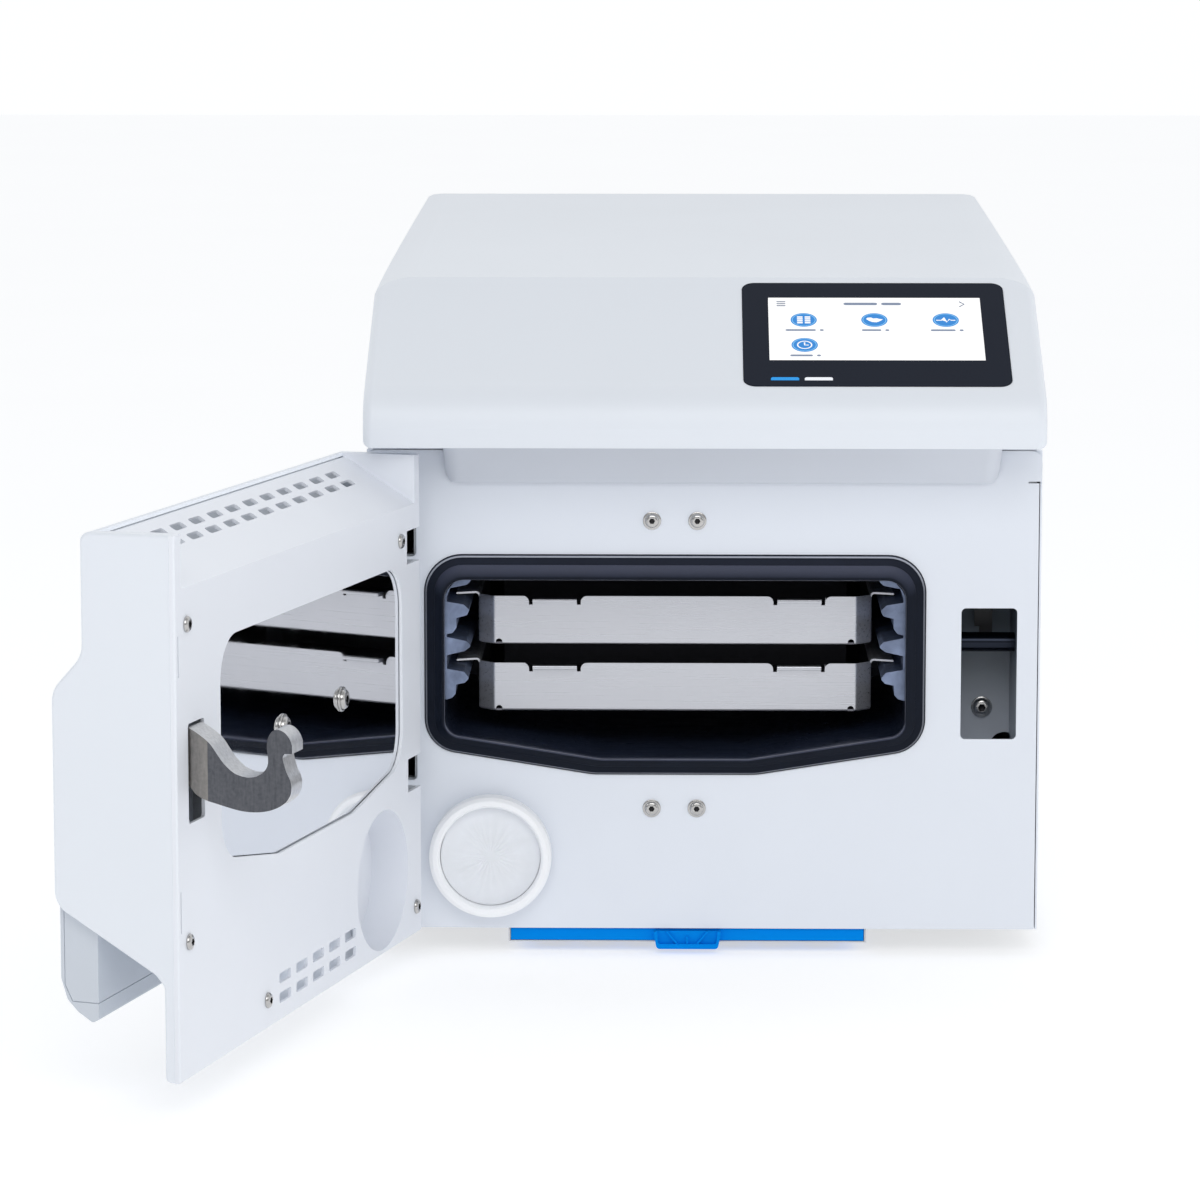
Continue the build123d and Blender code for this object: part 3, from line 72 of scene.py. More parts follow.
# =====================================================================================
# Materials
# =====================================================================================
class Finish:
    """One node material around a Principled shader, in the object's own coordinates."""

    def __init__(self, name, **fixed):
        self.mat = bpy.data.materials.new(name)
        self.mat.use_nodes = True
        self.tree = self.mat.node_tree
        self.tree.nodes.clear()
        self.out = self.tree.nodes.new("ShaderNodeOutputMaterial")
        self.bsdf = self.tree.nodes.new("ShaderNodeBsdfPrincipled")
        self.tree.links.new(self.bsdf.outputs["BSDF"], self.out.inputs["Surface"])
        self.coord = self.tree.nodes.new("ShaderNodeTexCoord")
        for key, value in fixed.items():
            self.bsdf.inputs[key.replace("_", " ")].default_value = value

    def node(self, kind, **values):
        made = self.tree.nodes.new(kind)
        for key, value in values.items():
            setattr(made, key, value)
        return made

    def link(self, a, b):
        self.tree.links.new(a, b)

    def place(self, stretch=(1, 1, 1), turn=(0, 0, 0)):
        m = self.node("ShaderNodeMapping")
        m.inputs["Scale"].default_value = stretch
        m.inputs["Rotation"].default_value = turn
        self.link(self.coord.outputs["Object"], m.inputs["Vector"])
        return m.outputs["Vector"]

    def noise(self, scale, detail=3.0, stretch=(1, 1, 1), turn=(0, 0, 0), rough=0.55, warp=0.0):
        n = self.node("ShaderNodeTexNoise")
        n.inputs["Scale"].default_value = scale
        n.inputs["Detail"].default_value = detail
        n.inputs["Roughness"].default_value = rough
        n.inputs["Distortion"].default_value = warp
        self.link(self.place(stretch, turn), n.inputs["Vector"])
        return n.outputs["Fac"]

    def remap(self, value, a, b, c, d):
        m = self.node("ShaderNodeMapRange")
        m.inputs["From Min"].default_value = a
        m.inputs["From Max"].default_value = b
        m.inputs["To Min"].default_value = c
        m.inputs["To Max"].default_value = d
        self.link(value, m.inputs["Value"])
        return m.outputs["Result"]

    def math(self, kind, a, b):
        m = self.node("ShaderNodeMath", operation=kind)
        for i, v in enumerate((a, b)):
            if isinstance(v, (int, float)):
                m.inputs[i].default_value = v
            else:
                self.link(v, m.inputs[i])
        return m.outputs[0]

    def colours(self, value, first, second):
        m = self.node("ShaderNodeMix", data_type="RGBA")
        m.inputs[6].default_value = (*first, 1)
        m.inputs[7].default_value = (*second, 1)
        self.link(value, m.inputs[0])
        return m.outputs[2]

    def blend(self, value, first, second):
        m = self.node("ShaderNodeMix", data_type="RGBA")
        self.link(value, m.inputs[0])
        self.link(first, m.inputs[6])
        self.link(second, m.inputs[7])
        return m.outputs[2]

    def base(self, colour):
        self.link(colour, self.bsdf.inputs["Base Color"])

    def rough(self, value):
        self.link(value, self.bsdf.inputs["Roughness"])

    def bump(self, height, depth, strength=1.0, before=None):
        b = self.node("ShaderNodeBump")
        b.inputs["Strength"].default_value = strength
        b.inputs["Distance"].default_value = depth
        self.link(height, b.inputs["Height"])
        if before is not None:
            self.link(before, b.inputs["Normal"])
        self.link(b.outputs["Normal"], self.bsdf.inputs["Normal"])
        return b.outputs["Normal"]

    def toward(self, axis):
        """How far the face's own normal points along an axis, -1 to 1."""
        d = self.node("ShaderNodeVectorMath", operation="DOT_PRODUCT")
        self.link(self.coord.outputs["Normal"], d.inputs[0])
        d.inputs[1].default_value = axis
        return d.outputs["Value"]

    def facing(self, axis):
        """How far the face's own normal lies along an axis, 0 to 1."""
        return self.math("ABSOLUTE", self.toward(axis), 0.0)


def shade(colour, k):
    return tuple(max(0.0, min(1.0, c * k)) for c in colour)


def coated(name, colour, low, high, grain, depth, tint=0.97, **fixed):
    """Paint or moulded plastic: soft mottling, fine surface grain, uneven sheen."""
    f = Finish(name, **fixed)
    soft = f.noise(7.0, 3, warp=0.6)
    f.base(f.colours(f.remap(soft, 0.3, 0.7, 0, 1), shade(colour, tint), colour))
    fine = f.noise(grain, 2)
    f.rough(f.remap(fine, 0.3, 0.7, low, high))
    f.bump(fine, depth)
    return f.mat


def brushed(name, colour, low, high, turn=(0, 0, 0), depth=4e-6, dark=0.86, aniso=0.55, lines=2600.0):
    """Metal with fine brush lines that run along the turned X axis."""
    f = Finish(name, Metallic=1.0)
    f.bsdf.inputs["Anisotropic"].default_value = aniso
    line = f.noise(1.0, 3, stretch=(14.0, lines, lines), turn=turn)
    long_line = f.noise(1.0, 2, stretch=(5.0, lines * 0.22, lines * 0.22), turn=turn)
    cloud = f.noise(14.0, 3, warp=0.8)
    both = f.math("ADD", f.math("MULTIPLY", line, 0.6), f.math("MULTIPLY", long_line, 0.4))
    tone = f.math("ADD", f.math("MULTIPLY", both, 0.7), f.math("MULTIPLY", cloud, 0.3))
    f.base(f.colours(f.remap(tone, 0.36, 0.64, 0, 1), shade(colour, dark), colour))
    f.rough(f.remap(both, 0.35, 0.65, low, high))
    f.bump(line, depth)
    return f


def metal(name, colour, low, high, grain=900.0, depth=4e-6, dark=0.9, metallic=1.0, **fixed):
    f = Finish(name, Metallic=metallic, **fixed)
    cloud = f.noise(60.0, 3, warp=0.5)
    f.base(f.colours(f.remap(cloud, 0.3, 0.7, 0, 1), shade(colour, dark), colour))
    fine = f.noise(grain, 3)
    f.rough(f.remap(fine, 0.3, 0.7, low, high))
    f.bump(fine, depth)
    return f


M = {}
M["hood"] = coated("hood_plastic", (0.80, 0.835, 0.89), 0.36, 0.46, 1500.0, 6e-6, 0.985)
M["panel"] = coated("panel_powder_coat", (0.780, 0.815, 0.88), 0.40, 0.52, 900.0, 9e-6, 0.98)
M["door_paint"] = coated("door_panel_paint", (0.825, 0.85, 0.905), 0.40, 0.52, 900.0, 9e-6, 0.98)
# the chin under the hood's lip: the hood's plastic in a darker grey, painted shade under the lip
M["chin"] = coated("chin_plastic_painted_shade", (0.65, 0.68, 0.74), 0.40, 0.50, 1500.0, 6e-6, 0.98)
M["grip"] = coated("grip_plastic", (0.60, 0.64, 0.70), 0.40, 0.50, 1500.0, 6e-6, 0.98)
M["bezel"] = coated("display_surround", (0.010, 0.014, 0.026), 0.32, 0.38, 700.0, 1e-6, 0.94, Specular_IOR_Level=0.04)


# the door's cover: the same plastic, with a faint painted glow on its faces that turn towards the door's inner side:
# painted light on its inside
f = Finish("cover_plastic_painted_glow")
soft = f.noise(7.0, 3, warp=0.6)
f.base(f.colours(f.remap(soft, 0.3, 0.7, 0, 1), (0.788, 0.822, 0.877), (0.80, 0.835, 0.89)))
fine = f.noise(1500.0, 2)
f.rough(f.remap(fine, 0.3, 0.7, 0.36, 0.46))
f.bump(fine, 6e-6)
f.bsdf.inputs["Emission Strength"].default_value = 1.0
# painted glow: faces turned towards the door's inner side emit a faint light grey
f.link(
    f.colours(f.remap(f.toward(tuple(-OUTWARD)), 0.6, 0.95, 0, 1), (0.0, 0.0, 0.0), (0.14, 0.147, 0.155)),
    f.bsdf.inputs["Emission Color"],
)
M["cover"] = f.mat


def seal_finish_with_painted_highlight(name, low, high, edge=1.0):
    """Dark coating, painted a lighter grey on faces that look up: a painted highlight."""
    f = Finish(name, Specular_IOR_Level=0.12)
    cloud = f.noise(40.0, 2, warp=0.5)
    # painted highlight: faces that look up take the lighter colour
    f.base(f.blend(
        f.remap(f.toward((0, 0, 1)), 0.02, 0.42, 0, 1),
        f.colours(f.remap(cloud, 0.3, 0.7, 0, 1), shade(low, 0.85 * edge), shade(low, edge)),
        f.colours(f.remap(cloud, 0.3, 0.7, 0, 1), shade(high, 0.93 * edge), shade(high, edge)),
    ))
    f.rough(f.remap(cloud, 0.3, 0.7, 0.34, 0.42))
    f.bump(f.noise(260.0, 2), 1e-6)
    return f.mat


M["flange"] = seal_finish_with_painted_highlight("coated_flange", (0.0048, 0.0078, 0.0165), (0.064, 0.072, 0.112))
M["gasket"] = seal_finish_with_painted_highlight("silicone_gasket", (0.0048, 0.0078, 0.0165), (0.064, 0.072, 0.112))
# lighter grey on the faces along the ring's and the seal's rounded edges: partly a bare edge, partly a painted
# highlight
M["flange_edge"] = seal_finish_with_painted_highlight("coated_flange_edge_highlight", (0.16, 0.17, 0.20), (0.42, 0.44, 0.50))
M["gasket_edge"] = seal_finish_with_painted_highlight("silicone_gasket_edge_highlight", (0.15, 0.16, 0.20), (0.20, 0.21, 0.26))
M["black"] = coated("black_plastic", (0.022, 0.024, 0.030), 0.38, 0.52, 1100.0, 1.2e-5, 0.8)
M["filter_ring"] = coated("filter_ring_plastic", (0.94, 0.95, 0.97), 0.34, 0.44, 1200.0, 8e-6, 0.985)
M["blue"] = coated("blue_plastic", (0.0002, 0.245, 0.80), 0.40, 0.50, 1300.0, 6e-6, 0.93, Specular_IOR_Level=0.02)
M["tank"] = coated("tank_plastic", (0.78, 0.82, 0.86), 0.40, 0.52, 600.0, 1.5e-5, 0.95)
M["rubber"] = coated("foot_rubber", (0.03, 0.03, 0.034), 0.6, 0.78, 700.0, 3e-5, 0.8)
M["pump"] = coated("cast_housing", (0.28, 0.29, 0.31), 0.45, 0.65, 420.0, 6e-5, 0.8)

# chamber lining: steel in a near-black colour that paints the shade deep in the chamber; it only glints towards its
# floor
f = Finish("chamber_lining_painted_shade", Metallic=0.15)
cloud = f.noise(26.0, 4, warp=1.0)
f.base(f.colours(f.remap(cloud, 0.35, 0.65, 0, 1), (0.012, 0.018, 0.038), (0.018, 0.026, 0.054)))
drawn = f.noise(1.0, 3, stretch=(30.0, 240.0, 900.0))
f.rough(f.remap(drawn, 0.3, 0.7, 0.26, 0.42))
f.bump(drawn, 1e-5)
M["chamber"] = f.mat

f = brushed("tray_steel", (0.60, 0.61, 0.65), 0.26, 0.34, aniso=0.35, dark=0.93)
f.bsdf.inputs["Metallic"].default_value = 0.72
M["tray"] = f.mat
M["tray_inner"] = brushed("tray_steel_shaded", (0.10, 0.10, 0.115), 0.30, 0.38, aniso=0.35, dark=0.9).mat
M["rod"] = brushed("lock_rod_steel", (0.020, 0.024, 0.035), 0.18, 0.26, turn=(0, pi / 2, 0), aniso=0.3).mat
M["screw"] = metal("screw_steel", (0.52, 0.51, 0.50), 0.14, 0.24, 1500.0, 2e-6).mat
# screw sockets: the same steel painted near black, painted shade in the recess
M["socket"] = metal("screw_socket_painted_shade", (0.035, 0.034, 0.036), 0.35, 0.5, 900.0, 4e-6).mat
M["galvanised"] = metal("zinc_sheet", (0.60, 0.62, 0.64), 0.32, 0.50, 300.0, 8e-6, 0.85).mat
M["brass"] = metal("machined_brass", (0.72, 0.54, 0.25), 0.22, 0.36, 900.0, 4e-6, 0.9).mat
M["cooler"] = metal("cooler_aluminium", (0.70, 0.71, 0.72), 0.30, 0.46, 800.0, 5e-6, 0.88).mat
M["boiler"] = metal("boiler_steel", (0.58, 0.58, 0.60), 0.26, 0.40, 500.0, 5e-6, 0.88).mat

# tray racks: bead-blasted aluminium with a blue cast
f = metal("rack_aluminium", (0.275, 0.335, 0.49), 0.40, 0.55, 420.0, 6e-5, 0.50, metallic=0.85)
M["rack"] = f.mat

# mirror plate: polished, with the faintest waviness and wiping marks
f = Finish("mirror_plate", Metallic=1.0)
wave = f.noise(9.0, 2, warp=0.4)
wipe = f.noise(1.0, 3, stretch=(60.0, 60.0, 9.0), warp=0.8)
f.base(f.colours(f.remap(wave, 0.3, 0.7, 0, 1), (0.86, 0.87, 0.89), (0.90, 0.905, 0.92)))
f.rough(f.remap(wipe, 0.35, 0.7, 0.015, 0.05))
f.bump(wave, 2.5e-6)
M["mirror"] = f.mat

# hook: cut from thick plate, the flanks ground across; by the way each face points, the rolled edge's faces along the
# door are painted bright and the flanks darker: painted highlight and painted shade
f = Finish("hook_steel_painted_light", Metallic=1.0)
grind = f.noise(1.0, 3, stretch=(700.0, 700.0, 90.0), warp=0.3)
fleck = f.noise(520.0, 2)
tone = f.math("ADD", f.math("MULTIPLY", grind, 0.55), f.math("MULTIPLY", fleck, 0.45))
# painted highlight on the faces that point along the door
edge = f.colours(f.remap(tone, 0.35, 0.65, 0, 1), (0.48, 0.48, 0.49), (0.66, 0.66, 0.67))
flank_painted_shade = f.colours(f.remap(tone, 0.35, 0.65, 0, 1), (0.085, 0.089, 0.102), (0.135, 0.139, 0.154))
flank_painted_light = f.colours(f.remap(tone, 0.35, 0.65, 0, 1), (0.225, 0.215, 0.205), (0.30, 0.285, 0.27))
# flanks turned towards the door's inner side take the darker colour as painted shade, the others the lighter one as
# painted light
flank_painted_light_and_shade = f.blend(f.remap(f.toward(tuple(-OUTWARD)), 0.015, 0.060, 0, 1), flank_painted_light, flank_painted_shade)
f.base(f.blend(f.remap(f.facing(tuple(ALONG)), 0.82, 0.95, 0, 1), edge, flank_painted_light_and_shade))
f.rough(f.remap(tone, 0.3, 0.7, 0.28, 0.40))
f.bump(tone, 5e-6)
M["hook"] = f.mat

# lock housing: blue-grey painted sheet, pale at its floor and dark from a little higher up: painted light low in the
# slot and painted shade under its top edge
f = Finish("lock_housing_paint_with_painted_shade", Metallic=0.1)
cloud = f.noise(30.0, 3, warp=0.5)
split = f.node("ShaderNodeSeparateXYZ")
f.link(f.coord.outputs["Object"], split.inputs[0])
# painted light and shade: pale below 125 mm height, dark above 195 mm
f.base(f.blend(
    f.remap(split.outputs["Z"], 0.125, 0.195, 0, 1),
    f.colours(f.remap(cloud, 0.3, 0.7, 0, 1), (0.66, 0.70, 0.77), (0.72, 0.76, 0.83)),
    f.colours(f.remap(cloud, 0.3, 0.7, 0, 1), (0.095, 0.125, 0.16), (0.115, 0.145, 0.18)),
))
fine = f.noise(800.0, 2)
f.rough(f.remap(fine, 0.3, 0.7, 0.36, 0.5))
f.bump(fine, 8e-6)
M["lock"] = f.mat

# filter paper: fibres and faint cream edge
f = Finish("filter_paper")
fibre = f.noise(1.0, 4, stretch=(900.0, 900.0, 2200.0), warp=0.8)
cloud = f.noise(60.0, 3)
f.base(f.colours(f.remap(cloud, 0.3, 0.7, 0, 1), (0.79, 0.81, 0.84), (0.83, 0.85, 0.89)))
f.rough(f.remap(fibre, 0.3, 0.7, 0.7, 0.9))
f.bump(fibre, 4e-5)
f.bsdf.inputs["Sheen Weight"].default_value = 0.15
M["paper"] = f.mat

# open-cell filter mat
f = Finish("filter_mat")
cell = f.node("ShaderNodeTexVoronoi")
cell.inputs["Scale"].default_value = 520.0
f.link(f.place(), cell.inputs["Vector"])
f.base(f.colours(f.remap(cell.outputs["Distance"], 0.0, 0.6, 0, 1), (0.05, 0.052, 0.056), (0.26, 0.27, 0.285)))
f.rough(f.remap(cell.outputs["Distance"], 0.0, 0.6, 0.7, 0.95))
f.bump(cell.outputs["Distance"], 4e-4)
M["mat"] = f.mat

# fibre blanket round the chamber
f = Finish("fibre_blanket")
fibre = f.noise(260.0, 5, stretch=(1, 1, 3), warp=1.4)
f.base(f.colours(f.remap(fibre, 0.3, 0.7, 0, 1), (0.55, 0.53, 0.48), (0.74, 0.72, 0.66)))
f.rough(f.remap(fibre, 0.3, 0.7, 0.8, 0.98))
f.bump(fibre, 6e-4)
M["blanket"] = f.mat

M["rail"] = metal("rail_sheet", (0.62, 0.63, 0.65), 0.4, 0.5, 300.0, 4e-6, 0.92, metallic=0.3).mat

# circuit board: solder mask with a network of tracks
f = Finish("circuit_board")
track = f.node("ShaderNodeTexVoronoi", feature="DISTANCE_TO_EDGE")
track.inputs["Scale"].default_value = 160.0
f.link(f.place(), track.inputs["Vector"])
f.base(f.colours(f.remap(track.outputs["Distance"], 0.02, 0.06, 0, 1), (0.10, 0.30, 0.14), (0.02, 0.12, 0.05)))
f.rough(f.remap(track.outputs["Distance"], 0.0, 0.2, 0.25, 0.4))
f.bump(track.outputs["Distance"], 6e-5)
M["board"] = f.mat


def lit(name, colour, strength, base=(0.02, 0.02, 0.02), grain=2500.0):
    """A lit surface under a thin clear cover."""
    f = Finish(name)
    f.bsdf.inputs["Specular IOR Level"].default_value = 0.15
    f.bsdf.inputs["Emission Strength"].default_value = strength
    cell = f.noise(grain, 1)
    f.link(f.colours(f.remap(cell, 0.3, 0.7, 0, 1), shade(colour, 0.985), colour), f.bsdf.inputs["Emission Color"])
    f.base(f.colours(cell, shade(base, 0.9), base))
    f.rough(f.remap(cell, 0.3, 0.7, 0.24, 0.32))
    f.bump(cell, 1e-6)
    return f.mat


M["screen"] = lit("screen_lit", (1.0, 1.0, 1.0), 1.05)
M["light_blue"] = lit("status_blue", (0.010, 0.30, 0.76), 0.9, (0.0, 0.05, 0.15), 900.0)
M["light_white"] = lit("status_white", (0.84, 0.87, 0.93), 0.95, (0.1, 0.1, 0.1), 900.0)
M["ui_dark"] = lit("screen_slate", (0.075, 0.115, 0.21), 1.0)
M["ui_grey"] = lit("screen_grey", (0.20, 0.25, 0.36), 1.0)
M["ui_line"] = lit("screen_rule", (0.78, 0.82, 0.88), 1.0)
M["ui_blue"] = lit("screen_blue", (0.008, 0.225, 0.66), 1.0)
M["ui_pale"] = lit("screen_pale_blue", (0.22, 0.58, 0.92), 1.0)

FINISH = {
    "base_pan": "galvanised", "front_panel": "panel", "front_frame": "galvanised",
    "side_cover_left": "panel", "side_cover_right": "panel", "rear_panel": "panel",
    "top_hood": "hood", "hood_chin": "chin", "display_bezel": "bezel", "display_screen": "screen",
    "status_light_blue": "light_blue", "status_light_white": "light_white", "control_board": "board",
    "chamber": "chamber", "chamber_insulation": "blanket", "flange_ring": "flange",
    "door_gasket": "gasket", "rack_left": "rack", "rack_right": "rack", "panel_screws": "screw",
    "hinge_brackets": "galvanised", "hinge_pins": "screw", "lock_housing": "lock", "lock_rod": "rod",
    "lock_housing_screw": "screw", "door_switch": "black", "door_switch_lever": "black",
    "filter_socket": "filter_ring", "sterile_filter_ring": "filter_ring",
    "sterile_filter_membrane": "paper", "filter_rails": "rail", "dust_filter_drawer": "blue",
    "dust_filter_mat": "mat", "feet": "rubber", "steam_generator": "boiler", "vacuum_pump": "pump",
    "valve_block": "brass", "condenser": "cooler", "fan_frame": "black", "fan_rotor": "black",
    "power_supply": "galvanised", "water_tank": "tank", "tank_shelf": "galvanised",
    "hose_fittings": "brass", "mains_inlet": "black", "mains_switch_frame": "black",
    "mains_rocker": "black", "tray_upper": "tray", "tray_lower": "tray",
    "door_inner_panel": "door_paint", "door_outer_cover": "cover", "door_grip": "grip",
    "door_plate": "mirror", "door_core": "galvanised", "door_plate_bolts": "screw",
    "door_screws": "screw", "door_hinge_blocks": "galvanised", "latch_hook": "hook",
    "latch_pivot": "screw", "latch_spring": "screw",
}
for name, obj in nodes.items():
    mat = M[FINISH[name]]
    if not obj.material_slots:
        obj.data.materials.append(mat)
    for entry in obj.material_slots:
        entry.material = mat


# =====================================================================================
# Mesh tools
# =====================================================================================
def piece(name, bm, mats, body, replaced=(), smooth=None):
    bmesh.ops.recalc_face_normals(bm, faces=bm.faces)
    mesh = bpy.data.meshes.new(name)
    bm.to_mesh(mesh)
    bm.free()
    for m in mats:
        mesh.materials.append(m)
    if smooth is not None:
        mesh.shade_smooth()
        mesh.set_sharp_from_angle(angle=radians(smooth))
    obj = bpy.data.objects.new(name, mesh)
    scene.collection.objects.link(obj)
    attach(obj, body)
    if replaced:
        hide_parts(*replaced)
    return obj


def prism(bm, outline, place, low, high, mat=0):
    """Closed prism over a plain 2-D outline, from low to high off its plane."""
    a = [bm.verts.new(place(x, y, low)) for x, y in outline]
    b = [bm.verts.new(place(x, y, high)) for x, y in outline]
    n = len(outline)
    faces = [bm.faces.new(a[::-1]), bm.faces.new(b)]
    faces += [bm.faces.new((a[i], a[(i + 1) % n], b[(i + 1) % n], b[i])) for i in range(n)]
    for face in faces:
        face.material_index = mat


def band(bm, outer, inner, place, low, high, mat=0):
    """Closed ring between two outlines with the same number of points."""
    n = len(outer)
    rows = [[bm.verts.new(place(x, y, h)) for x, y in o] for o, h in
            ((outer, low), (outer, high), (inner, high), (inner, low))]
    for k in range(4):
        p, q = rows[k], rows[(k + 1) % 4]
        for i in range(n):
            face = bm.faces.new((p[i], p[(i + 1) % n], q[(i + 1) % n], q[i]))
            face.material_index = mat


def circle(cx, cy, r, count=48, squash=1.0):
    return [(cx + r * cos(2 * pi * i / count), cy + r * squash * sin(2 * pi * i / count)) for i in range(count)]


def pill(cx, cy, w, h, count=8):
    """Rounded bar."""
    r = h / 2
    points = []
    for side_x, start in ((cx + w / 2 - r, -90), (cx - w / 2 + r, 90)):
        for i in range(count + 1):
            a = radians(start + 180 * i / count)
            points.append((side_x + r * cos(a), cy + r * sin(a)))
    return points


def stroke(points, width):
    """Outline of an open line with square ends."""
    left, right = [], []
    for i, (x, y) in enumerate(points):
        xa, ya = points[max(i - 1, 0)]
        xb, yb = points[min(i + 1, len(points) - 1)]
        dx, dy = xb - xa, yb - ya
        d = hypot(dx, dy)
        nx, ny = -dy / d * width / 2, dx / d * width / 2
        left.append((x + nx, y + ny))
        right.append((x - nx, y - ny))
    return left + right[::-1]


# =====================================================================================
# What the screen shows: a header rule, menu bars, an arrow and four round buttons
# =====================================================================================
bm = bmesh.new()
H0, H1, H2, H3 = 0.38, 0.43, 0.46, 0.49


def glass(x, s, h):
    """On the screen, its drawing fitted to the glass's width."""
    return slope(24.2 + (x - 24.4) * 0.983, s, h)


DARK, GREY, RULE, BLUE, PALE, WHITE = range(6)
prism(bm, [(41.8, 103.7), (178.4, 103.7), (178.4, 104.2), (41.8, 104.2)], glass, H0, H1, RULE)
for y in (109.2, 111.7, 114.2):
    prism(bm, pill(49.6, y, 6.0, 1.1), glass, H0, H1, DARK)
prism(bm, stroke([(165.4, 114.6), (168.6, 111.4), (165.4, 108.2)], 0.9), glass, H0, H1, DARK)
prism(bm, pill(101.2, 111.6, 22.0, 3.1), glass, H0, H1, GREY)
prism(bm, pill(121.2, 111.6, 13.0, 3.1), glass, H0, H1, GREY)
for cx, cy in ((64.0, 91.5), (109.7, 91.5), (155.8, 91.5), (64.0, 60.6)):
    prism(bm, circle(cx, cy, 8.5), glass, H0, H1, BLUE)
    band(bm, circle(cx, cy, 7.7), circle(cx, cy, 7.2), glass, H0, H2, PALE)
for cx, cy, wide in ((64.0, 78.9, 24.0), (109.7, 78.9, 17.0), (155.8, 78.9, 20.5), (64.0, 47.8, 19.0)):
    prism(bm, pill(cx - 2.2, cy, wide - 4.4, 2.1), glass, H0, H1, GREY)
    prism(bm, pill(cx + wide / 2 - 0.6, cy, 2.6, 2.1), glass, H0, H1, GREY)
# button 1: two columns of stacked packs
for col in (-1, 1):
    for row in range(4):
        y = 91.5 + (row - 1.5) * 2.35
        prism(bm, [(64.0 + col * 0.7, y - 0.75), (64.0 + col * 4.3, y - 0.75), (64.0 + col * 4.3, y + 0.75), (64.0 + col * 0.7, y + 0.75)], glass, H0, H3, WHITE)
# button 2: a leaf
leaf = [(104.4, 92.6), (105.3, 94.2), (107.6, 94.5), (109.0, 93.2), (111.2, 93.6), (113.2, 92.6), (115.2, 92.4),
        (114.0, 90.9), (112.6, 89.6), (110.8, 88.6), (108.2, 89.0), (106.2, 90.4)]
prism(bm, leaf, glass, H0, H3, WHITE)
# button 3: a base line with a pulse
prism(bm, stroke([(149.6, 91.2), (153.0, 91.2), (154.6, 94.6), (156.4, 88.9), (158.2, 92.6), (159.2, 91.2), (162.0, 91.2)], 0.9), glass, H0, H3, WHITE)
# button 4: a clock
band(bm, circle(64.0, 60.6, 4.9), circle(64.0, 60.6, 4.1), glass, H0, H3, WHITE)
prism(bm, stroke([(64.0, 63.6), (64.0, 60.4), (66.6, 60.4)], 0.9), glass, H0, H3, WHITE)
piece("screen_buttons", bm, [M["ui_dark"], M["ui_grey"], M["ui_line"], M["ui_blue"], M["ui_pale"], M["screen"]], "body")


# =====================================================================================
# Domed screws
# =====================================================================================
def domed_screw(bm, place, flange_r, flange_h, head_r, head_h, socket_r, lobes, shank_r, shank_l, seat=0.0, count=48):
    """One screw about its own axis; place(u, v, h) maps the local frame to the object.
    Seat is the height of the washer face, heights grow out of the surface."""
    def circle_at(r):
        return [(r * cos(2 * pi * i / count), r * sin(2 * pi * i / count)) for i in range(count)]

    def socket_at(k):
        points = []
        for i in range(count):
            a = 2 * pi * i / count
            if lobes:
                r = socket_r * k * (1 + 0.13 * cos(6 * a))
            else:
                r = socket_r * k * cos(pi / 6) / cos((a % (pi / 3)) - pi / 6)
            points.append((r * cos(a), r * sin(a)))
        return points

    rings = [(circle_at(shank_r * 0.75), seat - shank_l), (circle_at(shank_r), seat - shank_l + 0.6), (circle_at(shank_r), seat)]
    if flange_h > 0:
        rings += [(circle_at(flange_r - 0.25), seat), (circle_at(flange_r), seat + flange_h * 0.35),
                  (circle_at(flange_r - 0.12), seat + flange_h * 0.8), (circle_at(flange_r - 0.6), seat + flange_h)]
    base_h = seat + flange_h
    rings += [(circle_at(head_r), base_h), (circle_at(head_r), base_h + head_h * 0.18)]
    steps, rim = 7, socket_r * 1.32
    for i in range(1, steps + 1):
        a = pi / 2 * i / steps
        r = rim + (head_r - rim) * cos(a)
        rings.append((circle_at(r), base_h + head_h * (0.18 + 0.82 * sin(a))))
    top = base_h + head_h
    rings += [(socket_at(1.10), top - 0.02), (socket_at(1.0), top - 0.18), (socket_at(0.97), top - min(1.5, head_h * 0.75)),
              (circle_at(socket_r * 0.35), top - min(1.9, head_h * 0.92))]
    rows = [[bm.verts.new(place(u, v, h)) for u, v in points] for points, h in rings]
    bm.faces.new(rows[0][::-1])
    # the socket's faces take the second material: painted shade in the recess
    bm.faces.new(rows[-1]).material_index = 1
    for k, (p, q) in enumerate(zip(rows, rows[1:])):
        for i in range(count):
            face = bm.faces.new((p[i], p[(i + 1) % count], q[(i + 1) % count], q[i]))
            face.material_index = 1 if k >= len(rows) - 4 else 0


def on_front(x, z, y=0.0):
    return lambda u, v, h: machine(x + u, y - h, z + v)


def on_door(s, z, n=0.0):
    return lambda u, v, h: door(s + u, n - h, z + v)


bm = bmesh.new()
for x, z in ((-32.9, 278.7), (-4.2, 278.7), (-32.9, 93.8), (-4.2, 93.8)):
    domed_screw(bm, on_front(x, z), 5.8, 0.9, 4.5, 2.0, 1.75, False, 2.5, 13.0)
piece("panel_socket_screws", bm, [M["screw"], M["socket"]], "body", ("panel_screws",), 28)

bm = bmesh.new()
domed_screw(bm, on_front(181.6, 147.5, 76.0), 6.9, 1.0, 6.2, 3.3, 2.3, False, 3.0, 10.0)
piece("lock_socket_screw", bm, [M["screw"], M["socket"]], "body", ("lock_housing_screw",), 28)

bm = bmesh.new()
for s, z in ((406.0, 274.4), (36.1, 274.3), (407.5, 98.1), (283.1, 38.1), (8.9, 38.6)):
    domed_screw(bm, on_door(s, z, -0.1), 0.0, 0.0, 4.6, 2.3, 1.75, True, 2.0, 6.6)
piece("door_lobed_screws", bm, [M["screw"], M["socket"]], "door", ("door_screws",), 28)

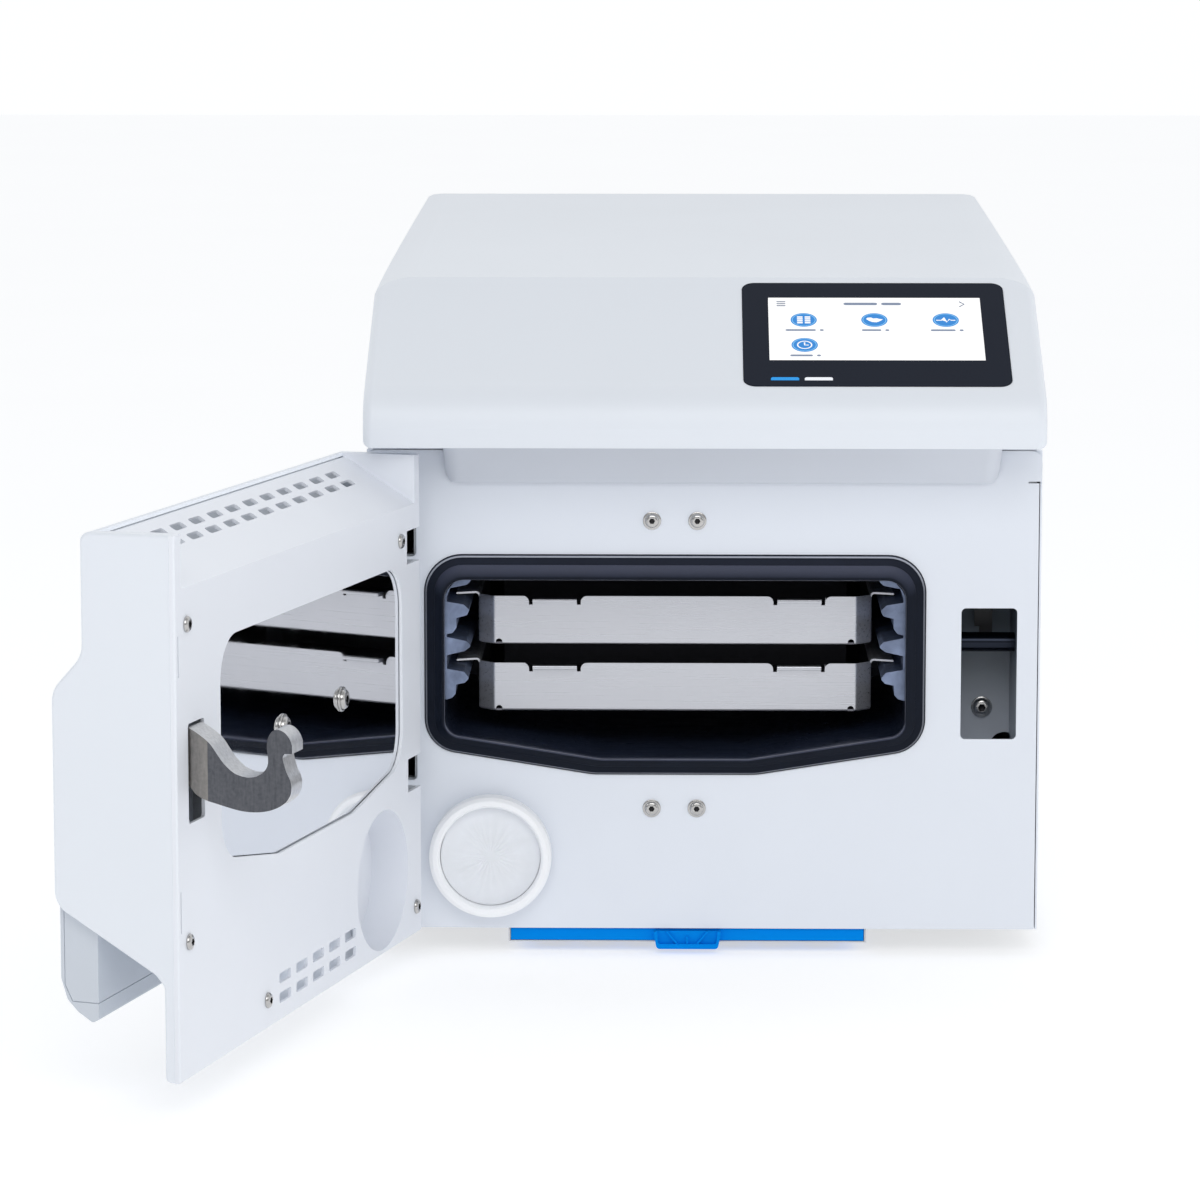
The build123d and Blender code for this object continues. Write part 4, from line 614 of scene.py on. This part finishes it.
bm = bmesh.new()
for s, z in ((142.8, 192.0), (246.8, 192.0)):
    domed_screw(bm, on_door(s, z, 2.2), 7.6, 1.2, 6.1, 2.6, 2.3, False, 3.0, 12.0)
piece("plate_dome_bolts", bm, [M["screw"], M["socket"]], "door", ("door_plate_bolts",), 28)


# =====================================================================================
# Coated ring and lip seal round the chamber's mouth: one smooth face that rises inwards
# =====================================================================================
def rounded(points, radii, steps=10):
    """Outline with every corner drawn as an arc of the same number of points."""
    out = []
    n = len(points)
    for i in range(n):
        x, y = points[i]
        xa, ya = points[i - 1]
        xb, yb = points[(i + 1) % n]
        ax, ay, bx, by = xa - x, ya - y, xb - x, yb - y
        la, lb = hypot(ax, ay), hypot(bx, by)
        ax, ay, bx, by = ax / la, ay / la, bx / lb, by / lb
        half = 0.5 * (pi - abs(atan2(ax * by - ay * bx, ax * bx + ay * by)))
        t = radii[i] * tan(half)
        cx, cy = ax + bx, ay + by
        lc = hypot(cx, cy)
        cx, cy = x + cx / lc * radii[i] / cos(half), y + cy / lc * radii[i] / cos(half)
        start = atan2(y + ay * t - cy, x + ax * t - cx)
        end = atan2(y + by * t - cy, x + bx * t - cx)
        sweep = (end - start + pi) % (2 * pi) - pi
        out += [(cx + radii[i] * cos(start + sweep * k / steps), cy + radii[i] * sin(start + sweep * k / steps))
                for k in range(steps + 1)]
    return out


def mouth(u):
    """The mouth's outline, from the ring's outer edge (u = 0) to the seal's inner edge (u = 1)."""
    half, bottom, knee = 158.6 - 12.3 * u, 116.3 + 9.9 * u, 52.0 - 5.0 * u
    top = 256.4 - 12.1 * u - 6.54 * max(0.0, u - 0.48)
    low = bottom + 0.158 * (half - knee)
    r, rs, rk = 23.5 - 11.0 * u, 21.5 - 11.0 * u, 40.0
    c = -18.3
    return rounded(
        [(c - half, top), (c - half, low), (c - knee, bottom), (c + knee, bottom), (c + half, low), (c + half, top)],
        [r, rs, rk, rk, rs, r],
    )


def mouth_band(name, rows, mats, body, replaced):
    """Closed ring from (u, y, material) rows."""
    bm = bmesh.new()
    rings = [[bm.verts.new(machine(x, y, z)) for x, z in mouth(u)] for u, y, _ in rows]
    count = len(rings[0])
    for k in range(len(rings)):
        p, q = rings[k], rings[(k + 1) % len(rings)]
        for i in range(count):
            bm.faces.new((p[i], p[(i + 1) % count], q[(i + 1) % count], q[i])).material_index = rows[k][2]
    return piece(name, bm, mats, body, replaced, 50)


def rise(u):
    """Height of the face in front of the panel: nearly flat on the ring, crowned on the seal."""
    crown = sin(min(1.0, max(0.0, (u - 0.42) / 0.51)) * pi / 2)
    return -2.35 - 0.35 * min(1.0, u / 0.42) - 2.25 * crown


# material 1 marks the rows on the rounded edges, which take the lighter edge colour: painted highlight
rows = [(0.0, 1.85, 0), (0.0, -1.2, 0), (0.012, -1.75, 1), (0.045, -2.2, 1), (0.09, -2.42, 0)]
rows += [(u / 100, rise(u / 100 - 0.06), 0) for u in (13, 19, 25, 31, 37, 43, 47.9)] + [(0.48, 1.85, 0)]
mouth_band("coated_mouth_ring", rows, [M["flange"], M["flange_edge"]], "body", ("flange_ring",))
rows = [(0.4815, 1.85, 0), (0.4815, rise(0.4215), 0)]
rows += [(u / 100, rise(u / 100 - 0.06), 0) for u in (53, 59, 65, 71, 77, 83, 88)]
rows += [(0.925, -4.86, 0), (0.955, -4.6, 0), (0.978, -4.1, 1), (0.995, -3.3, 1), (1.0, -2.4, 0), (1.0, 1.85, 0)]
mouth_band("lip_seal", rows, [M["gasket"], M["gasket_edge"]], "body", ("door_gasket",))


# =====================================================================================
# Pressed trays: soft bends, relieved finger tabs with a hemmed edge, rolled side flanges
# =====================================================================================
def pressed_tray(name, flange_top, body, node):
    base, rim = flange_top - 33.0, flange_top - 1.9
    left, right, y0, y1, sheet = -144.8, 108.2, 35.0, 222.0, 1.2
    low, side_top = base + 1.6, flange_top - 3.2
    gap, reach = 2.45, 4.0

    # columns of the front wall: x, height of its top, height of the relief at its foot
    columns = []
    for a0, a1 in ((-109.7, -81.3), (47.3, 75.6)):
        n0, n1 = a0 - gap, a1 + gap
        for k in range(8):
            dx = reach * sin(pi / 2 * k / 7)
            columns.append((n0 - reach + dx, rim - reach + sqrt(max(0.0, reach * reach - dx * dx)), None))
            columns.append((n1 + reach - dx, rim - reach + sqrt(max(0.0, reach * reach - dx * dx)), None))
        columns += [(n0 + 0.03, rim - 5.6, None), (a0 - 0.03, rim - 5.6, None), (a0, rim - 4.6, None), (a1, rim - 4.6, None),
                    (a1 + 0.03, rim - 5.6, None), (n1 - 0.03, rim - 5.6, None)]
    for cx in (left + 13.4, right - 13.4):
        for k in range(11):
            dx = -2.1 * cos(pi * k / 10)
            columns.append((cx + dx, rim, low + 0.04 + sqrt(max(0.0, 2.1 * 2.1 - dx * dx)) * 0.9))
    columns += [(left + 30, rim, None), (-60.0, rim, None), (-18.3, rim, None), (20.0, rim, None), (right - 30, rim, None)]
    columns.sort()

    def outline(i):
        corners = [(left + i, y0 + 10), (left + 10, y0 + i), (right - 10, y0 + i), (right - i, y0 + 10),
                   (right - i, y1 - 10), (right - 10, y1 - i), (left + 10, y1 - i), (left + i, y1 - 10)]
        turn = max(0.6, 3.0 - i)
        points = rounded(corners, [turn] * 8, 6)
        return points[:14] + [(x, y0 + i) for x, _, _ in columns] + points[14:]

    count = len(outline(0))
    tops, feet = [], []
    for k, (x, y) in enumerate(outline(0)):
        if 14 <= k < 14 + len(columns):
            tops.append(columns[k - 14][1])
            feet.append(columns[k - 14][2])
        else:
            on_side = x < left + 0.4 or x > right - 0.4
            tops.append(side_top if on_side and y0 + 10.4 < y < y1 - 10.4 else rim)
            feet.append(None)

    bm = bmesh.new()

    def row(inset, z):
        return [bm.verts.new(machine(x, y, z[k] if isinstance(z, list) else z)) for k, (x, y) in enumerate(outline(inset))]

    arc = [radians(a) for a in (0, 22, 45, 68, 90)]
    relief = [f if f else low + 0.04 for f in feet]
    outer = [row(1.4 - 1.4 * sin(a), base + 1.4 - 1.4 * cos(a)) for a in arc] + [row(0.0, relief), row(0.0, tops)]
    inner = [row(sheet + 0.4 - 0.4 * sin(a), base + sheet + 0.4 - 0.4 * cos(a)) for a in arc] + [row(sheet, relief), row(sheet, tops)]
    open_column = [bool(feet[k] and feet[(k + 1) % count]) for k in range(count)]
    for rows, flip in ((outer, False), (inner, True)):
        for r in range(6):
            for k in range(count):
                if open_column[k] and 1 <= r <= 4:
                    continue
                q = (rows[r][k], rows[r][(k + 1) % count], rows[r + 1][(k + 1) % count], rows[r + 1][k])
                bm.faces.new(q[::-1] if flip else q).material_index = int(flip)
    for k in range(count):
        n = (k + 1) % count
        bm.faces.new((outer[6][k], outer[6][n], inner[6][n], inner[6][k]))
        if open_column[k]:
            bm.faces.new((outer[5][k], inner[5][k], inner[5][n], outer[5][n])).material_index = 1
            bm.faces.new((outer[1][k], outer[1][n], inner[1][n], inner[1][k])).material_index = 1
            for at, gone in ((k, not open_column[k - 1]), (n, not open_column[n])):
                if gone:
                    for r in range(1, 5):
                        bm.faces.new((outer[r][at], outer[r + 1][at], inner[r + 1][at], inner[r][at])).material_index = 1
    bm.faces.new(outer[0][::-1])
    bm.faces.new(inner[0]).material_index = 1

    def extruded(profile, low_of, high_of):
        a = [bm.verts.new(low_of(u, v)) for u, v in profile]
        b = [bm.verts.new(high_of(u, v)) for u, v in profile]
        n = len(profile)
        bm.faces.new(a[::-1])
        bm.faces.new(b)
        for i in range(n):
            bm.faces.new((a[i], a[(i + 1) % n], b[(i + 1) % n], b[i]))

    # side flanges, rolled outwards from the walls
    for hand, wall in ((1, left), (-1, right)):
        profile = [(0.0, side_top)]
        profile += [(-2.0 + 2.0 * cos(a), side_top + 2.0 * sin(a)) for a in arc[1:]]
        profile += [(-13.6, flange_top - 1.2), (-14.15, flange_top - 0.9), (-14.15, flange_top - 0.3), (-13.6, flange_top)]
        profile += [(-2.0 + 3.2 * cos(a), side_top + 3.2 * sin(a)) for a in arc[::-1]]

        def front_end(u, v, hand=hand, wall=wall):
            y = y0 + 1.5 + (u + 12.0) * 9.0 / 13.2 if u > -12.0 else y0 + 1.5 + (-12.0 - u) * 1.1
            return machine(wall + hand * u, y, v)

        def rear_end(u, v, hand=hand, wall=wall):
            y = y0 + 1.5 + (u + 12.0) * 9.0 / 13.2 if u > -12.0 else y0 + 1.5 + (-12.0 - u) * 1.1
            return machine(wall + hand * u, y1 - (y - y0), v)

        extruded(profile, front_end, rear_end)
    # finger tabs, bent outwards and hemmed
    for a0, a1 in ((-109.7, -81.3), (47.3, 75.6)):
        profile = [(y0 + sheet, rim - 4.6)]
        profile += [(y0 - 0.8 + 2.0 * cos(a), rim - 3.3 + 2.0 * sin(a)) for a in arc]
        profile += [(y0 - 4.85, rim - 1.3), (y0 - 5.25, rim - 1.42), (y0 - 5.45, rim - 1.75), (y0 - 5.45, rim - 3.35)]
        profile += [(y0 - 5.25, rim - 3.68), (y0 - 4.85, rim - 3.8)]
        profile += [(y0 - 0.6, rim - 3.8), (y0 - 0.15, rim - 4.0), (y0, rim - 4.45), (y0, rim - 4.6)]
        extruded(profile, lambda u, v: machine(a0 + 0.05, u, v), lambda u, v: machine(a1 - 0.05, u, v))
    return piece(name, bm, [M["tray"], M["tray_inner"]], body, (node,), 38)


pressed_tray("pressed_tray_upper", 227.4, "tray_upper_body", "tray_upper")
pressed_tray("pressed_tray_lower", 184.0, "tray_lower_body", "tray_lower")


# =====================================================================================
# Fine broken edges on machined and pressed pieces
# =====================================================================================
for name, width in (("rack_left", 0.00045), ("rack_right", 0.00045), ("latch_hook", 0.0004),
                    ("door_plate", 0.0002), ("lock_rod", 0.0003)):
    soft = nodes[name].modifiers.new("broken_edges", "BEVEL")
    soft.width = width
    soft.segments = 2
    soft.limit_method = "ANGLE"
    soft.angle_limit = radians(35)
    soft.harden_normals = False


# =====================================================================================
# Pleated sterile filter paper
# =====================================================================================
FILTER = (-135.5, 64.4)
bm = bmesh.new()
SPOKES, TURN = 24, 384
radii = [0.0, 0.8, 1.6, 2.6, 4.0, 6.0, 8.5, 11.5, 14.5, 17.5, 20.5, 23.0, 25.0, 26.6, 27.8, 28.6, 29.6, 31.75]


def pleat(r, a):
    """How far the folded paper stands out at radius r, mm."""
    phase = SPOKES * a + 1.1 * sin(3 * a + 0.7) + 0.8 * sin(5 * a + 2.1)
    fold = abs(((phase / (2 * pi)) % 1.0) * 2 - 1)
    fold = fold * fold * (3 - 2 * fold)
    rise = min(1.0, r / 9.0) * (1.0 if r < 22 else max(0.0, 1 - (r - 22) / 5.5))
    uneven = 0.75 + 0.25 * sin(2 * a + 0.4)
    return fold * 0.42 * rise * uneven + 0.35 * (1 - min(1.0, r / 14.0))


front_rows = []
centre = bm.verts.new(machine(FILTER[0], -10.4 - 0.35, FILTER[1]))
for r in radii[1:]:
    row = []
    for i in range(TURN):
        a = 2 * pi * i / TURN
        row.append(bm.verts.new(machine(FILTER[0] + r * cos(a), -10.4 - pleat(r, a), FILTER[1] + r * sin(a))))
    front_rows.append(row)
back = [bm.verts.new(machine(FILTER[0] + 31.75 * cos(2 * pi * i / TURN), -6.2, FILTER[1] + 31.75 * sin(2 * pi * i / TURN))) for i in range(TURN)]
for i in range(TURN):
    bm.faces.new((centre, front_rows[0][i], front_rows[0][(i + 1) % TURN]))
for p, q in zip(front_rows, front_rows[1:] + [back]):
    for i in range(TURN):
        bm.faces.new((p[i], q[i], q[(i + 1) % TURN], p[(i + 1) % TURN]))
bm.faces.new(back)
piece("pleated_filter_paper", bm, [M["paper"]], "sterile_filter", ("sterile_filter_membrane",), 60)


# =====================================================================================
# Studio: pale floor, soft boxes, even surroundings
# =====================================================================================
bm = bmesh.new()
corners = [bm.verts.new(p) for p in ((-14, -14, 0), (14, -14, 0), (14, 14, 0), (-14, 14, 0))]
bm.faces.new(corners)
mesh = bpy.data.meshes.new("floor")
bm.to_mesh(mesh)
bm.free()
f = Finish("pale_floor")
cloud = f.noise(2.0, 3)
f.base(f.colours(cloud, (0.60, 0.605, 0.615), (0.62, 0.625, 0.635)))
f.rough(f.remap(cloud, 0.3, 0.7, 0.75, 0.9))
f.bump(f.noise(300.0, 2), 1e-5)
f.bsdf.inputs["Specular IOR Level"].default_value = 0.0
f.bsdf.inputs["Emission Color"].default_value = (1, 1, 1, 1)
f.bsdf.inputs["Emission Strength"].default_value = 0.52
mesh.materials.append(f.mat)
floor = bpy.data.objects.new("floor", mesh)
scene.collection.objects.link(floor)
floor.location = (0, 0, -0.0005)

world = bpy.data.worlds.new("studio")
scene.world = world
world.use_nodes = True
tree = world.node_tree
tree.nodes.clear()
out = tree.nodes.new("ShaderNodeOutputWorld")
sky = tree.nodes.new("ShaderNodeBackground")
coord = tree.nodes.new("ShaderNodeTexCoord")
split = tree.nodes.new("ShaderNodeSeparateXYZ")
tree.links.new(coord.outputs["Generated"], split.inputs[0])


def world_range(source, a, b, c, d):
    m = tree.nodes.new("ShaderNodeMapRange")
    m.interpolation_type = "SMOOTHSTEP"
    for key, value in (("From Min", a), ("From Max", b), ("To Min", c), ("To Max", d)):
        m.inputs[key].default_value = value
    tree.links.new(source, m.inputs["Value"])
    return m.outputs["Result"]


def world_math(kind, a, b):
    m = tree.nodes.new("ShaderNodeMath")
    m.operation = kind
    tree.links.new(a, m.inputs[0])
    if isinstance(b, (int, float)):
        m.inputs[1].default_value = b
    else:
        tree.links.new(b, m.inputs[1])
    return m.outputs[0]


up = world_range(split.outputs["Z"], -0.05, 0.75, 0.0, 0.12)
rear = world_range(split.outputs["Y"], -0.1, 0.5, 0.0, 0.60)
total = world_math("MINIMUM", world_math("ADD", world_math("ADD", up, rear), 0.44), 1.03)
tree.links.new(total, sky.inputs["Strength"])
sky.inputs["Color"].default_value = (0.968, 0.984, 1.0, 1)
tree.links.new(sky.outputs[0], out.inputs["Surface"])


def soft_box(name, at, look, size, power, colour=(1, 1, 1)):
    data = bpy.data.lights.new(name, "AREA")
    data.shape = "RECTANGLE"
    data.size, data.size_y = size
    data.energy = power
    data.color = colour
    obj = bpy.data.objects.new(name, data)
    scene.collection.objects.link(obj)
    obj.location = at
    obj.rotation_mode = "QUATERNION"
    obj.rotation_quaternion = (Vector(look) - Vector(at)).to_track_quat("-Z", "Y")
    return obj


soft_box("key_front", (0.2, -2.6, 1.9), (0.05, 0.0, 0.2), (2.2, 1.4), 24.0, (0.99, 0.995, 1.0))
soft_box("fill_right", (2.6, -1.2, 1.2), (0.0, 0.0, 0.2), (1.4, 1.6), 5.5, (0.97, 0.985, 1.0))
soft_box("top", (0.1, 0.3, 2.6), (0.05, 0.1, 0.3), (1.8, 1.8), 0.3)

scene.view_settings.view_transform = "Standard"
scene.view_settings.look = "None"

# =====================================================================================
# Camera
# =====================================================================================
camera_data = bpy.data.cameras.new("camera")
camera_data.lens = 142.42
camera_data.sensor_width = 36.0
camera_data.clip_start, camera_data.clip_end = 0.05, 60.0
camera = bpy.data.objects.new("camera", camera_data)
scene.collection.objects.link(camera)
camera.location = (0.05813, -3.03686, 0.64795)
camera.rotation_euler = (pi / 2 - 0.138808, 0.0, 0.017195)
scene.camera = camera
